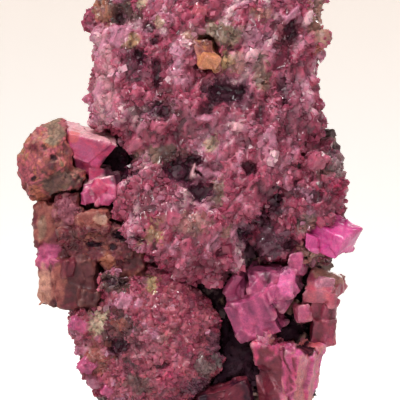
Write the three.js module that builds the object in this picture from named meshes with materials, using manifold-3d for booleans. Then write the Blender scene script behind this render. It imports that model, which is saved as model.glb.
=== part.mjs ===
// A hand specimen of cobaltoan dolomite on matrix, standing on its flat broken base. Millimetres.
// +X is to the right when facing the crystal-covered front, +Y runs back into the host rock, +Z is up.
// The origin lies on the base. Places are written as [x, y, z].
import * as THREE from "three";
import { ImprovedNoise } from "three/addons/math/ImprovedNoise.js";
import { mergeVertices } from "three/addons/utils/BufferGeometryUtils.js";
import Module from "manifold-3d";

const wasm = await Module();
wasm.setup();

// Driving dimensions
const PARTING = 0.3; // width of the parting between neighbouring pieces
const FINEST_EDGE = 0.12; // surface detail below this is evened out
const RHOMB_SQUASH = 0.7; // a dolomite rhomb beside a cube, along the diagonal it stands on
const SUNK = 0.25; // depth of a small crystal's middle below the crust, as a share of its edge
const CRUST_GRAIN = 5.5; // spacing of the lumps in the crystal crusts
const CRUST_RELIEF = 0.8; // height of those lumps
const ROCK_GRAIN = 7.5; // spacing of the lumps in the host rock
const ROCK_RELIEF = 0.9; // height of those lumps
const CUT_SIZE = 120; // size of the blocks that shear the host rock, beyond its own
const EVEN_STEPS = [0.7549, 0.5698]; // irrational steps that spread places evenly over a surface
const SMALLEST = 0.7; // the smallest and largest crystal of a crust beside its usual size
const LARGEST = 1.5;
const TUMBLE = 1.4; // how far the crystals of a crust lean away from standing upright on it
const SLANT_GROWTH = 2.4; // how much longer a slanted edge gets when its faces move out by one
const UNEVENNESS = 0.55; // how far the corners of a mass stray, as a share of their spacing
const FRONT = -Math.PI / 2; // angle of the front, seen from the middle of a mass

// Each mass is a stack of levels: [height, left, right, front, back].
const ROCK_LEVELS = [
  [0, -11.8, 12.8, -8.0, 9.0],
  [3, -12.8, 14.4, -8.4, 10.0],
  [9, -15.2, 16.4, -6.6, 11.0],
  [17, -18.0, 17.8, -4.2, 11.8],
  [26, -20.0, 18.0, -3.0, 12.4],
  [34, -19.6, 18.6, -2.4, 12.2],
  [41, -17.0, 18.6, -1.6, 11.6],
  [48, -14.0, 16.6, -1.0, 10.6],
  [56, -13.4, 16.6, -0.8, 9.8],
  [60.4, -12.4, 16.2, 0.0, 9.0],
  [63, -8.5, 12.0, 1.4, 7.4],
];
const UPPER_LEVELS = [
  [21.4, -1.6, 2.2, -8.4, -4.6],
  [23.2, -5.4, 4.2, -9.8, -1.6],
  [26.6, -9.8, 5.8, -10.8, 0.4],
  [31, -11.2, 9.8, -10.8, 1.6],
  [35, -10.2, 12.8, -10.2, 2.4],
  [39, -9.8, 15.6, -9.6, 3.0],
  [42, -12.4, 16.6, -9.0, 3.2],
  [44.6, -15.8, 17.0, -8.6, 3.4],
  [48, -15.0, 16.4, -8.0, 3.4],
  [54, -15.0, 16.4, -7.2, 3.6],
  [58.6, -14.4, 17.0, -6.8, 4.6],
  [62, -13.8, 17.2, -6.2, 6.4],
  [64.6, -11.0, 14.0, -4.4, 6.6],
  [66.2, -6.0, 8.6, -1.8, 4.6],
];
const NODULE_LEVELS = [
  [4.6, -11.6, -1.4, -7.4, -2.2],
  [6.6, -14.4, 0.8, -9.8, 0.0],
  [10, -16.4, 2.6, -11.4, 1.0],
  [14, -17.4, 3.0, -11.8, 1.6],
  [17.6, -18.0, 2.0, -11.2, 1.6],
  [20.6, -16.4, -0.2, -10.0, 1.2],
  [23, -13.6, -2.4, -8.6, -0.6],
  [24.4, -10.6, -4.2, -7.4, -1.8],
];
const FLANK_LEVELS = [
  [24.4, 9.4, 15.6, -5.4, 0.0],
  [27, 7.4, 17.6, -7.2, 2.0],
  [31, 7.6, 19.4, -8.0, 3.4],
  [35, 9.0, 19.8, -7.6, 4.0],
  [39, 11.0, 19.0, -6.4, 4.0],
  [42.4, 12.6, 17.4, -4.2, 3.0],
];

// Hollows in the front of a crust: [x, z, radius, depth].
const UPPER_HOLLOWS = [
  [-1.8, 36.4, 3.6, 2.2],
  [6.6, 37.6, 2.0, 1.8],
  [4.6, 48.0, 3.6, 1.9],
  [-8.6, 59.0, 3.2, 1.6],
  [-7.4, 49.6, 2.4, 1.2],
  [-6.6, 41.2, 2.8, 1.5],
];
const NODULE_HOLLOWS = [
  [-13.4, 18.4, 3.0, 1.6],
  [-12.6, 11.0, 3.4, 1.7],
];
const FLANK_HOLLOWS = [[12.6, 26.8, 1.8, 1.8]];

// Flat breaks that shear the sides and back of the host rock: [angle, height, depth left standing, tilt].
const FRACTURES = [
  [1.30, 6, 9.6, 0.20],
  [1.95, 12, 11.2, 0.10],
  [0.95, 24, 13.4, 0.02],
  [1.72, 33, 11.2, -0.02],
  [2.45, 30, 14.8, -0.03],
  [1.15, 52, 10.4, -0.14],
  [2.05, 56, 10.0, -0.16],
  [0.45, 10, 15.4, 0.14],
  [0.35, 54, 15.4, -0.12],
  [2.85, 8, 15.2, 0.20],
];
// Ledges that the breaks leave standing on the back.
const LEDGES = [
  { corner: [-14.0, 4.4, 37.5], across: [14.5, 2.3, 2.0], down: [1.6, -0.2, -11.5], back: [0.4, 5.6, -0.6] },
  { corner: [1.5, 6.2, 25.0], across: [9.6, -2.4, -1.6], down: [-0.8, 0.2, -12.5], back: [0.2, 6.0, 0.5] },
  { corner: [-7.0, 5.0, 56.0], across: [12.0, 0.8, -2.2], down: [-0.6, 0.8, -10.5], back: [0.2, 5.0, 0.4] },
  { corner: [-12.6, 3.2, 16.5], across: [10.0, 2.6, -1.4], down: [1.6, -0.8, -9.6], back: [0.2, 6.0, 0.6] },
];

// The large crystals. Each is given by its nearest corner and the three edges that leave it, across,
// down and back, and by how far it narrows towards its foot.
const CENTRAL_CRYSTALS = [
  { corner: [3.0, -8.8, 18.2], across: [5.6, -0.6, 1.7], down: [2.6, 0.9, -5.1], back: [1.2, 6.5, 1.8] },
  { corner: [3.4, -6.6, 21.1], across: [2.2, 0.6, 2.2], down: [0.2, -1.0, -3.8], back: [1.8, 4.6, 0.6] },
  { corner: [6.3, -7.0, 23.0], across: [4.6, -0.4, -0.1], down: [0.8, -1.0, -4.4], back: [0.8, 6.0, 1.4] },
  { corner: [11.1, -8.6, 23.2], across: [2.2, 0.6, 0.2], down: [-0.8, -0.6, -3.7], back: [1.0, 6.0, 0.8] },
  { corner: [10.5, -9.2, 21.4], across: [1.9, -0.4, 0.3], down: [0.3, 0.6, -2.1], back: [0.6, 4.5, 0.8] },
  { corner: [13.2, -8.2, 21.6], across: [0.9, 0.8, -1.2], down: [-2.8, -0.6, -2.8], back: [0.6, 5.0, 0.8] },
  { corner: [12.2, -7.4, 25.4], across: [1.8, 0.5, 0.3], down: [0.3, 0.0, -3.2], back: [0.4, 4.6, 0.6] },
];
const RIGHT_POINT_CRYSTALS = [
  { corner: [19.8, -9.2, 27.6], across: [2.8, 3.6, 1.6], down: [-1.2, 1.6, -3.0], back: [-4.9, 3.0, 2.8] },
  { corner: [14.6, -8.0, 28.4], across: [1.8, 0.6, -0.8], down: [-0.2, 0.5, -2.0], back: [0.6, 5.0, 0.6] },
];
const RIGHT_EDGE_CRYSTALS = [
  { corner: [15.3, -8.0, 38.8], across: [2.0, 0.3, -0.4], down: [0.4, 0.2, -2.7], back: [0.6, 4.2, 1.0] },
  { corner: [17.3, -7.2, 38.0], across: [1.6, 0.7, -0.6], down: [0.0, 0.4, -1.8], back: [0.4, 4.2, 0.9] },
  { corner: [18.0, -6.4, 34.7], across: [2.0, 0.7, 0.0], down: [-0.2, 0.6, -1.2], back: [0.6, 4.0, 1.5] },
];
const RIGHT_TABULAR_CRYSTALS = [
  { corner: [14.1, -6.8, 20.9], across: [4.5, 0.7, -0.8], down: [0.1, 0.5, -2.0], back: [1.9, 4.8, 2.7] },
  { corner: [15.2, -5.8, 19.4], across: [3.3, 0.9, 0.0], down: [0.2, 0.7, -3.4], back: [0.4, 5.6, 0.4] },
  { corner: [12.8, -7.2, 18.4], across: [2.2, -0.2, 0.2], down: [0.4, 0.3, -2.2], back: [0.4, 4.2, 0.4] },
  { corner: [15.6, -5.5, 16.5], across: [3.3, 0.8, -0.2], down: [-0.3, 0.6, -3.4], back: [0.0, 4.6, 0.4] },
];
const LOWER_RIGHT_CRYSTALS = [
  {
    corner: [10.9, -9.6, 12.4], across: [2.7, -0.4, -1.0], down: [-1.5, 0.6, -11.2], back: [4.3, 5.6, 1.7],
    taper: 0.52,
  },
  { corner: [7.6, -7.8, 12.6], across: [3.5, -1.7, -0.4], down: [0.6, 0.4, -11.4], back: [2.2, 6.4, 1.4] },
  { corner: [7.8, -8.7, 15.2], across: [1.9, -0.3, 0.0], down: [-0.1, 0.2, -2.6], back: [0.8, 4.4, 0.4] },
  { corner: [7.1, -9.2, 13.2], across: [3.8, -0.3, -0.3], down: [0.4, 0.6, -3.0], back: [0.8, 5.0, 0.6] },
];
const BOTTOM_CRYSTALS = [
  { corner: [-0.7, -9.4, 5.9], across: [6.9, -0.5, 2.4], down: [1.2, 0.4, -4.7], back: [0.6, 6.2, 0.6] },
  { corner: [2.6, -10.2, 6.0], across: [2.6, 0.5, 0.9], down: [0.6, 0.5, -3.6], back: [0.4, 5.0, 0.6] },
];
const LEFT_POCKET_CRYSTALS = [
  {
    corner: [-18.0, -7.8, 42.2], across: [6.8, 0.4, -1.7], down: [-1.4, 1.6, -5.2], back: [-0.8, 6.6, 2.0],
    taper: 0.4,
  },
  { corner: [-16.4, -5.8, 35.4], across: [2.2, -0.3, 0.3], down: [-0.4, -0.5, -3.2], back: [0.6, 5.4, 0.6] },
  { corner: [-14.7, -6.6, 35.8], across: [2.9, -0.2, 0.7], down: [0.2, -0.5, -3.6], back: [0.4, 5.8, 0.4] },
  { corner: [-15.4, -4.8, 37.6], across: [2.6, 0.4, -0.2], down: [-0.2, -0.3, -2.4], back: [0.4, 4.8, 0.4] },
];
const LEFT_BROWN_CRYSTALS = [
  { corner: [-23.2, -4.6, 32.4], across: [4.8, -1.2, 0.2], down: [1.0, 0.4, -14.0], back: [0.6, 7.8, 0.4] },
  { corner: [-20.8, -7.6, 24.8], across: [6.0, -1.0, 0.0], down: [0.9, 0.5, -6.8], back: [1.2, 8.0, 0.8] },
  { corner: [-20.2, -6.2, 33.6], across: [3.6, -0.4, 0.3], down: [0.2, 0.3, -4.2], back: [0.4, 6.4, 0.6] },
  { corner: [-19.6, -7.4, 28.9], across: [8.6, -1.2, 0.4], down: [2.2, -0.6, -4.4], back: [0.4, 7.6, 1.0] },
  {
    corner: [-15.0, -8.0, 28.8], across: [6.8, -0.8, 0.5], down: [1.4, -0.3, -7.2], back: [0.4, 7.2, 1.0],
    taper: 0.75,
  },
  { corner: [-17.3, -8.2, 31.2], across: [4.5, -0.3, 0.3], down: [0.2, -0.8, -3.0], back: [0.2, 5.8, 0.6] },
];
const AMBER_CRYSTALS = [
  { corner: [-0.9, -8.6, 55.0], across: [2.7, 0.6, 0.3], down: [0.7, -0.5, -4.2], back: [0.4, 4.0, 0.4] },
];
const WEATHERED_LUMP = {
  centre: [-20.9, -2.4, 38.6], radii: [4.0, 5.8, 6.2], lean: 0.38, grain: 2.8, relief: 0.5, detail: 3,
};
const WEATHERED_FOOT = {
  centre: [-18.6, -2.2, 35.4], radii: [4.4, 5.2, 3.6], lean: 0.1, grain: 2.8, relief: 0.4, detail: 2,
};
const ROCK_KNOB = {
  centre: [15.6, 2.2, 39.2], radii: [3.8, 4.6, 5.4], lean: -0.25, grain: 3.2, relief: 0.5, detail: 2,
};

const noise = new ImprovedNoise();

// Smooth lumps of the given spacing, between about -1 and 1, that depend on the place alone.
function lumps(place, spacing) {
  const coarse = place.clone().divideScalar(spacing);
  const fine = coarse.clone().multiplyScalar(2.2);
  return 1.3 * noise.noise(coarse.x, coarse.y, coarse.z) + 0.7 * noise.noise(fine.z, fine.x, fine.y);
}

function seeded(seed) {
  let state = seed;
  return () => {
    state = (Math.imul(state, 1664525) + 1013904223) >>> 0;
    return state / 4294967296;
  };
}

// A closed geometry as a solid that can be joined and cut.
function solidOf(geometry) {
  const bare = geometry.index ? geometry.toNonIndexed() : geometry.clone();
  bare.deleteAttribute("normal");
  bare.deleteAttribute("uv");
  const merged = mergeVertices(bare, 1e-4);
  return new wasm.Manifold(new wasm.Mesh({
    numProp: 3,
    vertProperties: new Float32Array(merged.attributes.position.array),
    triVerts: new Uint32Array(merged.index.array),
  }));
}

function geometryOf(solid) {
  const { vertProperties, triVerts } = solid.getMesh();
  const geometry = new THREE.BufferGeometry();
  geometry.setAttribute("position", new THREE.BufferAttribute(new Float32Array(vertProperties), 3));
  geometry.setIndex(new THREE.BufferAttribute(new Uint32Array(triVerts), 1));
  return geometry;
}

const join = (solids) => solids.reduce((all, next) => all.add(next));
const largest = (solid) => solid.decompose().reduce((a, b) => (a.volume() > b.volume() ? a : b));

// A mass of rock or crust: rounded sections fitted to its levels, with lumps and hollows in its surface.
class Mass {
  constructor({ levels, sides, rows, grain, relief, squareness = 2.6, hollows = [], flatFoot = false }) {
    Object.assign(this, { levels, sides, rows, grain, relief, squareness, hollows, flatFoot });
    this.foot = levels[0][0];
    this.head = levels.at(-1)[0];
    const heights = levels.map((level) => level[0]);
    const limits = levels.flatMap((level) => level.slice(1));
    this.profile = new THREE.CubicInterpolant(heights, limits, 4, new Float32Array(4));
  }

  // The surface at a height, seen from the middle under an angle: its place and its outward direction.
  surface(angle, height, grow) {
    const [left, right, front, back] = this.profile.evaluate(height);
    const halfWidth = (right - left) / 2;
    const halfDepth = (back - front) / 2;
    const power = 2 / this.squareness;
    const along = Math.sign(Math.cos(angle)) * Math.abs(Math.cos(angle)) ** power;
    const across = Math.sign(Math.sin(angle)) * Math.abs(Math.sin(angle)) ** power;
    const place = new THREE.Vector3(
      (left + right) / 2 + halfWidth * along,
      (front + back) / 2 + halfDepth * across,
      height,
    );
    const middle = (this.foot + this.head) / 2;
    const end = (height - middle) / (this.head - middle);
    const rise = this.flatFoot && end < 0 ? 0 : Math.sign(end) * Math.abs(end) ** 6 / 4;
    const outward = new THREE.Vector3(along / halfWidth, across / halfDepth, rise).normalize();
    const dips = this.hollows.map(([x, z, radius, depth]) => (
      depth * THREE.MathUtils.smoothstep(radius - Math.hypot(place.x - x, place.z - z), 0, 0.7 * radius)
    ));
    const dip = outward.y < 0 ? Math.max(0, ...dips) : 0;
    const shift = grow + this.relief * lumps(place, this.grain) - dip;
    return { place: place.addScaledVector(outward, shift), outward };
  }

  solid(grow) {
    const { sides, rows } = this;
    const random = seeded(sides * rows);
    const points = [];
    const faces = [];
    for (let row = 0; row <= rows; row++) {
      for (let side = 0; side < sides; side++) {
        const astray = row % rows ? UNEVENNESS * (random() - 0.5) : 0;
        const height = THREE.MathUtils.lerp(this.foot, this.head, (row + astray) / rows);
        const turned = side + (row % 2) / 2 + UNEVENNESS * (random() - 0.5);
        const { place } = this.surface((turned / sides) * 2 * Math.PI, height, grow);
        if (this.flatFoot && row === 0) place.z = this.foot - grow;
        points.push(place);
        if (row === rows) continue;
        const next = (side + 1) % sides;
        const here = row * sides;
        const above = here + sides;
        // Every other row is turned by half a step, and each four-sided field is split the shorter way.
        const field = [here + side, here + next, above + next, above + side];
        const [a, b, c, d] = row % 2 ? field : [...field.slice(1), field[0]];
        faces.push(a, b, c, a, c, d);
      }
    }
    for (const row of [0, rows]) this.closeEnd(points, faces, row, row ? grow : -grow);
    const geometry = new THREE.BufferGeometry().setFromPoints(points);
    geometry.setIndex(faces);
    return solidOf(geometry);
  }

  closeEnd(points, faces, row, lift) {
    const ring = points.slice(row * this.sides, (row + 1) * this.sides);
    const middle = ring.reduce((sum, point) => sum.add(point), new THREE.Vector3());
    middle.divideScalar(this.sides);
    if (!(this.flatFoot && row === 0)) middle.z += lift;
    points.push(middle);
    for (let side = 0; side < this.sides; side++) {
      const here = row * this.sides + side;
      const next = row * this.sides + ((side + 1) % this.sides);
      faces.push(points.length - 1, ...(row === 0 ? [next, here] : [here, next]));
    }
  }

  // Rhombs that stand out of the surface between two angles, spread evenly by irrational steps.
  rhombs({ count, from, to, size, seed, lowest = this.foot, highest = this.head }, grow) {
    const random = seeded(seed);
    return Array.from({ length: count }, (_, i) => {
      const height = THREE.MathUtils.lerp(lowest, highest, (0.5 + i * EVEN_STEPS[0]) % 1);
      const angle = THREE.MathUtils.lerp(from, to, (0.5 + i * EVEN_STEPS[1]) % 1);
      const { place, outward } = this.surface(angle, height, 0);
      const edge = size * THREE.MathUtils.lerp(SMALLEST, LARGEST, random() ** 2);
      const lean = new THREE.Vector3(random() - 0.5, random() - 0.5, random() - 0.5);
      const axis = outward.clone().addScaledVector(lean, TUMBLE).normalize();
      return rhomb(place.addScaledVector(outward, -SUNK * edge), axis, edge, random() * Math.PI, grow);
    });
  }
}

// A rhomb of the given edge, centred on a place, with its three-fold axis along a direction.
function rhomb(place, axis, edge, spin, grow) {
  const full = edge + 2 * grow;
  const box = new THREE.BoxGeometry(full, full, full);
  const diagonal = new THREE.Vector3(1, 1, 1).normalize();
  const up = new THREE.Vector3(0, 0, 1);
  box.applyQuaternion(new THREE.Quaternion().setFromUnitVectors(diagonal, up));
  box.scale(1, 1, RHOMB_SQUASH);
  box.rotateZ(spin);
  box.applyQuaternion(new THREE.Quaternion().setFromUnitVectors(up, axis));
  box.translate(place.x, place.y, place.z);
  return solidOf(box);
}

function block({ corner, across, down, back, taper = 1 }, grow) {
  const edges = [across, down, back].map((edge) => new THREE.Vector3(...edge));
  const middle = edges.reduce((sum, edge) => sum.addScaledVector(edge, 0.5), new THREE.Vector3(...corner));
  const wider = edges.map((edge) => edge.clone().setLength(edge.length() + SLANT_GROWTH * grow));
  const box = new THREE.BoxGeometry(1, 1, 1);
  const position = box.attributes.position;
  for (let i = 0; i < position.count; i++) {
    if (position.getY(i) > 0) position.setXYZ(i, position.getX(i) * taper, 0.5, position.getZ(i) * taper);
  }
  const turn = new THREE.Matrix4().makeBasis(...wider).setPosition(middle);
  box.applyMatrix4(turn);
  if (turn.determinant() < 0) box.index.array.reverse();
  return solidOf(box);
}

// A rounded lump with an uneven surface.
function boulder({ centre, radii, lean, grain, relief, detail }, grow) {
  const ball = new THREE.IcosahedronGeometry(1, detail);
  const position = ball.attributes.position;
  const turn = new THREE.Matrix4().makeRotationY(lean);
  for (let i = 0; i < position.count; i++) {
    const outward = new THREE.Vector3().fromBufferAttribute(position, i);
    const place = outward.clone().multiply(new THREE.Vector3(...radii)).applyMatrix4(turn);
    place.add(new THREE.Vector3(...centre));
    place.addScaledVector(outward.applyMatrix4(turn), grow + relief * lumps(place, grain));
    position.setXYZ(i, place.x, place.y, place.z);
  }
  return solidOf(ball);
}

function fractureCutter([angle, height, distance, tilt], grow) {
  const cutter = new THREE.BoxGeometry(CUT_SIZE, CUT_SIZE, CUT_SIZE);
  cutter.translate(CUT_SIZE / 2 + distance + grow, 0, 0);
  cutter.rotateY(tilt);
  cutter.rotateZ(angle);
  cutter.translate(0, 0, height);
  return solidOf(cutter);
}

const blocks = (list) => (grow) => join(list.map((one) => block(one, grow)));

// The crystal crusts, each a lumpy mass with rhombs standing out of its front and flanks.
const crust = { grain: CRUST_GRAIN, relief: CRUST_RELIEF };
const upperMass = new Mass({
  ...crust, levels: UPPER_LEVELS, sides: 20, rows: 15, hollows: UPPER_HOLLOWS,
});
const noduleMass = new Mass({
  ...crust, levels: NODULE_LEVELS, sides: 15, rows: 7, squareness: 2.2, hollows: NODULE_HOLLOWS,
});
const flankMass = new Mass({
  ...crust, levels: FLANK_LEVELS, sides: 13, rows: 6, squareness: 2.3, hollows: FLANK_HOLLOWS,
});
const rockMass = new Mass({
  levels: ROCK_LEVELS, sides: 18, rows: 11, grain: ROCK_GRAIN, relief: ROCK_RELIEF, squareness: 3,
  flatFoot: true,
});
const covered = (mass, spreads, crystals = []) => (grow) => join([
  mass.solid(grow),
  ...spreads.flatMap((spread) => mass.rhombs(spread, grow)),
  ...crystals.map((one) => block(one, grow)),
]);
const upperCrust = covered(upperMass, [
  { count: 68, from: FRONT - 1.7, to: FRONT + 1.7, size: 2.5, seed: 7, lowest: 23.6 },
  { count: 11, from: 0, to: 2 * Math.PI, size: 2.6, seed: 51, lowest: 62 },
]);
const lowerNodule = covered(noduleMass, [
  { count: 26, from: FRONT - 1.6, to: FRONT + 1.6, size: 2.2, seed: 21 },
]);
const rightFlank = covered(flankMass, [
  { count: 15, from: FRONT - 1.2, to: FRONT + 2.0, size: 2.1, seed: 33 },
], RIGHT_EDGE_CRYSTALS);
const weatheredLump = (grow) => join([boulder(WEATHERED_LUMP, grow), boulder(WEATHERED_FOOT, grow)]);

function hostRock(grow) {
  const cutters = FRACTURES.map((fracture) => fractureCutter(fracture, grow));
  const broken = cutters.reduce((rock, cutter) => rock.subtract(cutter), rockMass.solid(grow));
  return join([broken, boulder(ROCK_KNOB, grow), ...LEDGES.map((ledge) => block(ledge, grow))]);
}

// Each piece gives way to the ones above it in this list, so the best-formed crystals stay whole.
const PIECES = [
  { name: "central_crystal_cluster", solid: blocks(CENTRAL_CRYSTALS), colour: 0xb03a86, roughness: 0.3 },
  { name: "right_point_crystal", solid: blocks(RIGHT_POINT_CRYSTALS), colour: 0xd8459a, roughness: 0.3 },
  { name: "right_tabular_crystals", solid: blocks(RIGHT_TABULAR_CRYSTALS), colour: 0xb05470, roughness: 0.4 },
  { name: "lower_right_crystals", solid: blocks(LOWER_RIGHT_CRYSTALS), colour: 0xc94a82, roughness: 0.35 },
  { name: "bottom_crystals", solid: blocks(BOTTOM_CRYSTALS), colour: 0xa83a55, roughness: 0.35 },
  { name: "left_pocket_crystals", solid: blocks(LEFT_POCKET_CRYSTALS), colour: 0xb52a7c, roughness: 0.25 },
  { name: "left_brown_crystals", solid: blocks(LEFT_BROWN_CRYSTALS), colour: 0x8a5148, roughness: 0.5 },
  { name: "amber_crystal", solid: blocks(AMBER_CRYSTALS), colour: 0xb8713f, roughness: 0.4 },
  { name: "weathered_lump", solid: weatheredLump, colour: 0xa66a58, roughness: 0.6 },
  { name: "lower_druse_nodule", solid: lowerNodule, colour: 0xa64866, roughness: 0.45 },
  { name: "right_druse_flank", solid: rightFlank, colour: 0x9d4a68, roughness: 0.45 },
  { name: "upper_druse_crust", solid: upperCrust, colour: 0x9f4666, roughness: 0.45 },
  { name: "matrix", solid: hostRock, colour: 0x6e5a52, roughness: 0.75 },
];

const specimen = new THREE.Group();
let taken = null;
for (const { name, solid, colour, roughness } of PIECES) {
  const whole = solid(0);
  const parted = taken ? whole.subtract(taken) : whole;
  const mesh = new THREE.Mesh(
    geometryOf(largest(parted.simplify(FINEST_EDGE))),
    new THREE.MeshStandardMaterial({ color: colour, roughness, metalness: 0 }),
  );
  mesh.name = name;
  specimen.add(mesh);
  const spaced = solid(PARTING);
  taken = taken ? taken.add(spaced) : spaced;
}

export default specimen;
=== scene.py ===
"""Finish of a hand specimen of cobaltoan dolomite that stands on its broken base.

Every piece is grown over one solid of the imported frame. The solid is wrapped in a fine skin, the skin
gets relief, pits and growth steps, and small crystals are set on it where it lies open to the air.
Lengths are in millimetres until a mesh is made. +X is to the right, +Y runs into the rock, +Z is up.
"""

import logging
import math
from dataclasses import dataclass, field
from enum import Enum, IntEnum
from itertools import product
from typing import Optional

import bpy
import numpy as np
from mathutils import Matrix, Vector
from mathutils.bvhtree import BVHTree


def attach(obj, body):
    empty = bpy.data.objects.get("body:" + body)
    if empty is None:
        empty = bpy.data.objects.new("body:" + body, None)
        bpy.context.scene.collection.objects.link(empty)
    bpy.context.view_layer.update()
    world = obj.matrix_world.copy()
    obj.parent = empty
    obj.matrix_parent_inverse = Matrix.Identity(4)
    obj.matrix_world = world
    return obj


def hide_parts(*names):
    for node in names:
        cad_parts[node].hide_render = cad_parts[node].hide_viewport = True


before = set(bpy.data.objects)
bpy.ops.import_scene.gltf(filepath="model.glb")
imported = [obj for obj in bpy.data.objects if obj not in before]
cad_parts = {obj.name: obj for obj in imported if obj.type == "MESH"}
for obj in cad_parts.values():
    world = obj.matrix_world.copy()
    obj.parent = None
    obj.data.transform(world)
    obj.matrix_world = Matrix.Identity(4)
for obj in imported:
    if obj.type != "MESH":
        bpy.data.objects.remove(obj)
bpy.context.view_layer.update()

MM = 0.001
LATTICE_SHIFT = 71.3
Array = np.ndarray
log = logging.getLogger("specimen")


class Mineral(Enum):
    """The colours of the specimen, each as an sRGB code."""

    ROSE = 0xB85C74
    RASPBERRY = 0xAA405E
    DUSKY = 0x8A4456
    MAUVE = 0xB06476
    LILAC = 0xC8809A
    PALE_PINK = 0xE6ACB4
    HOT_PINK = 0xCD4772
    MAGENTA = 0xC83C88
    ORCHID = 0xE86EA8
    PURPLE = 0xA8466F
    VIOLET = 0x963C66
    FUCHSIA = 0xC35483
    PLUM = 0x5E2840
    # Painted shade: laid into crevices, recesses and pits, and over blocks that lie in shadow.
    SHADOW_PURPLE = 0x2A0A1E
    # Painted shade of the druse's joints, hollows and pits.
    DARK_PLUM = 0x421A30
    MAROON = 0x6E2636
    WINE = 0x6A2A3A
    RED_ROSE = 0xBC5C6C
    CORAL = 0xD86468
    PEACH = 0xDCA08C
    ORANGE = 0xC87858
    AMBER = 0xCC865E
    CLAY = 0xA05850
    TAN = 0xBC9480
    CREAM = 0xDCBCA0
    STRAW = 0xC8A472
    OLIVE = 0x8E7662
    MOSS = 0x5C4C42
    TAUPE = 0x74485A
    BROWN = 0x763E3C
    UMBER = 0x582C30
    GREY = 0x927C7A
    # Painted shade in the worn lump's holes and in a pit of the brown blocks.
    DEEP_SHADOW = 0x38222C

    @property
    def linear(self) -> Array:
        """The colour as linear red, green and blue."""
        code = np.array([self.value >> 16 & 255, self.value >> 8 & 255, self.value & 255]) / 255
        return np.where(code <= 0.04045, code / 12.92, ((code + 0.055) / 1.055) ** 2.4)


class Habit(Enum):
    """Proportions of a small crystal: two widths and the length along its three-fold axis."""

    RHOMB = (1.0, 1.0, 0.8)
    BLADE = (1.25, 0.55, 0.9)
    SPLINTER = (0.6, 0.55, 1.35)


class Draw(IntEnum):
    """What is added to a piece's seed for each of its own patterns."""

    STEPS = 9
    PATCHES = 11
    STRAYS = 12
    GRAINS = 20
    WANDER = 30
    SIZES = 40
    FLATS = 50


def unit(vectors: Array) -> Array:
    """Vectors brought to length one, along the last axis."""
    return vectors / np.maximum(np.linalg.norm(vectors, axis=-1, keepdims=True), 1e-9)


def smoothstep(low: float, high: float, value: Array) -> Array:
    """A soft step from 0 at the low value to 1 at the high one."""
    part = np.clip((value - low) / (high - low), 0, 1)
    return part * part * (3 - 2 * part)


def shuffled(cells: Array, order: Array) -> Array:
    """A number from 0 to 255 for each lattice cell, by a shuffled list of those numbers."""
    x, y, z = (cells & 255).T
    return order[(order[(order[x] + y) & 255] + z) & 255]


def noise(places: Array, spacing: float, seed: int) -> Array:
    """Smooth lattice noise.

    Args:
        places: Points, in rows of three.
        spacing: Size of the lattice cells.
        seed: Picks the pattern.

    Returns:
        One value between about -1 and 1 for each point.
    """
    dice = np.random.default_rng(seed)
    order = dice.permutation(256)
    slopes = unit(dice.normal(size=(256, 3)))
    cells = places / spacing + LATTICE_SHIFT
    low = np.floor(cells).astype(int)
    part = cells - low
    fade = part**3 * (part * (part * 6 - 15) + 10)
    total = np.zeros(len(places))
    for corner in product((0, 1), repeat=3):
        step = np.array(corner)
        weight = np.prod(np.where(step, fade, 1 - fade), axis=1)
        total += weight * np.einsum("ij,ij->i", slopes[shuffled(low + step, order)], part - step)
    return 1.6 * total


def drawn_out(places: Array, along: tuple[float, float, float], factor: float) -> Array:
    """Places pressed together along one direction, so that a pattern on them runs that way."""
    direction = unit(np.array(along))
    return places - (1 - 1 / factor) * (places @ direction)[:, None] * direction


def rising_steps(
    places: Array, across: tuple[float, float, float], spacing: float, wander: float, bend: float, seed: int,
) -> Array:
    """Rows of steps that follow one another in one direction.

    Args:
        places: Points, in rows of three.
        across: The direction that runs across the rows.
        spacing: The width of a row.
        wander: How far the rows stray, in rows.
        bend: The length over which they stray.
        seed: Picks the pattern.

    Returns:
        For each place how far through its row it lies, from 0 to 1.
    """
    rows = places @ unit(np.array(across)) / spacing + wander * noise(places, bend, seed)
    return rows - np.floor(rows)


class Cells:
    """Ragged cells that fill space, each around a point of its own."""

    def __init__(self, places: Array, spacing: float, seed: int) -> None:
        """Finds the cell of each place.

        Args:
            places: Points, in rows of three.
            spacing: Usual size of a cell.
            seed: Picks the pattern.
        """
        dice = np.random.default_rng(seed)
        order = dice.permutation(256)
        own = dice.random((256, 3))
        scaled = places / spacing + LATTICE_SHIFT
        home = np.floor(scaled).astype(int)
        nearest = np.full(len(places), 9.0)
        second = nearest.copy()
        self.number = np.zeros(len(places), dtype=int)
        self.offset = np.zeros((len(places), 3))
        for step in product((-1, 0, 1), repeat=3):
            cell = home + np.array(step)
            number = shuffled(cell, order)
            offset = scaled - cell - own[number]
            distance = np.linalg.norm(offset, axis=1)
            closer = distance < nearest
            second = np.where(closer, nearest, np.minimum(second, distance))
            nearest = np.where(closer, distance, nearest)
            self.number = np.where(closer, number, self.number)
            self.offset = np.where(closer[:, None], offset, self.offset)
        self.border = second - nearest
        self.tone = 2 * dice.permutation(256)[self.number] / 255 - 1

    def domes(self) -> Array:
        """A rounded grain in each cell, from -1 in the joints to about 1, some higher than others."""
        return smoothstep(0, 0.45, self.border) * (1.35 + 0.65 * self.tone) - 1

    def flats(self) -> Array:
        """A flat in each cell, each with a slope of its own, between about -1 and 1."""
        slopes = unit(np.random.default_rng(5).normal(size=(256, 3)))
        return 1.6 * np.einsum("ij,ij->i", self.offset, slopes[self.number])


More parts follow.
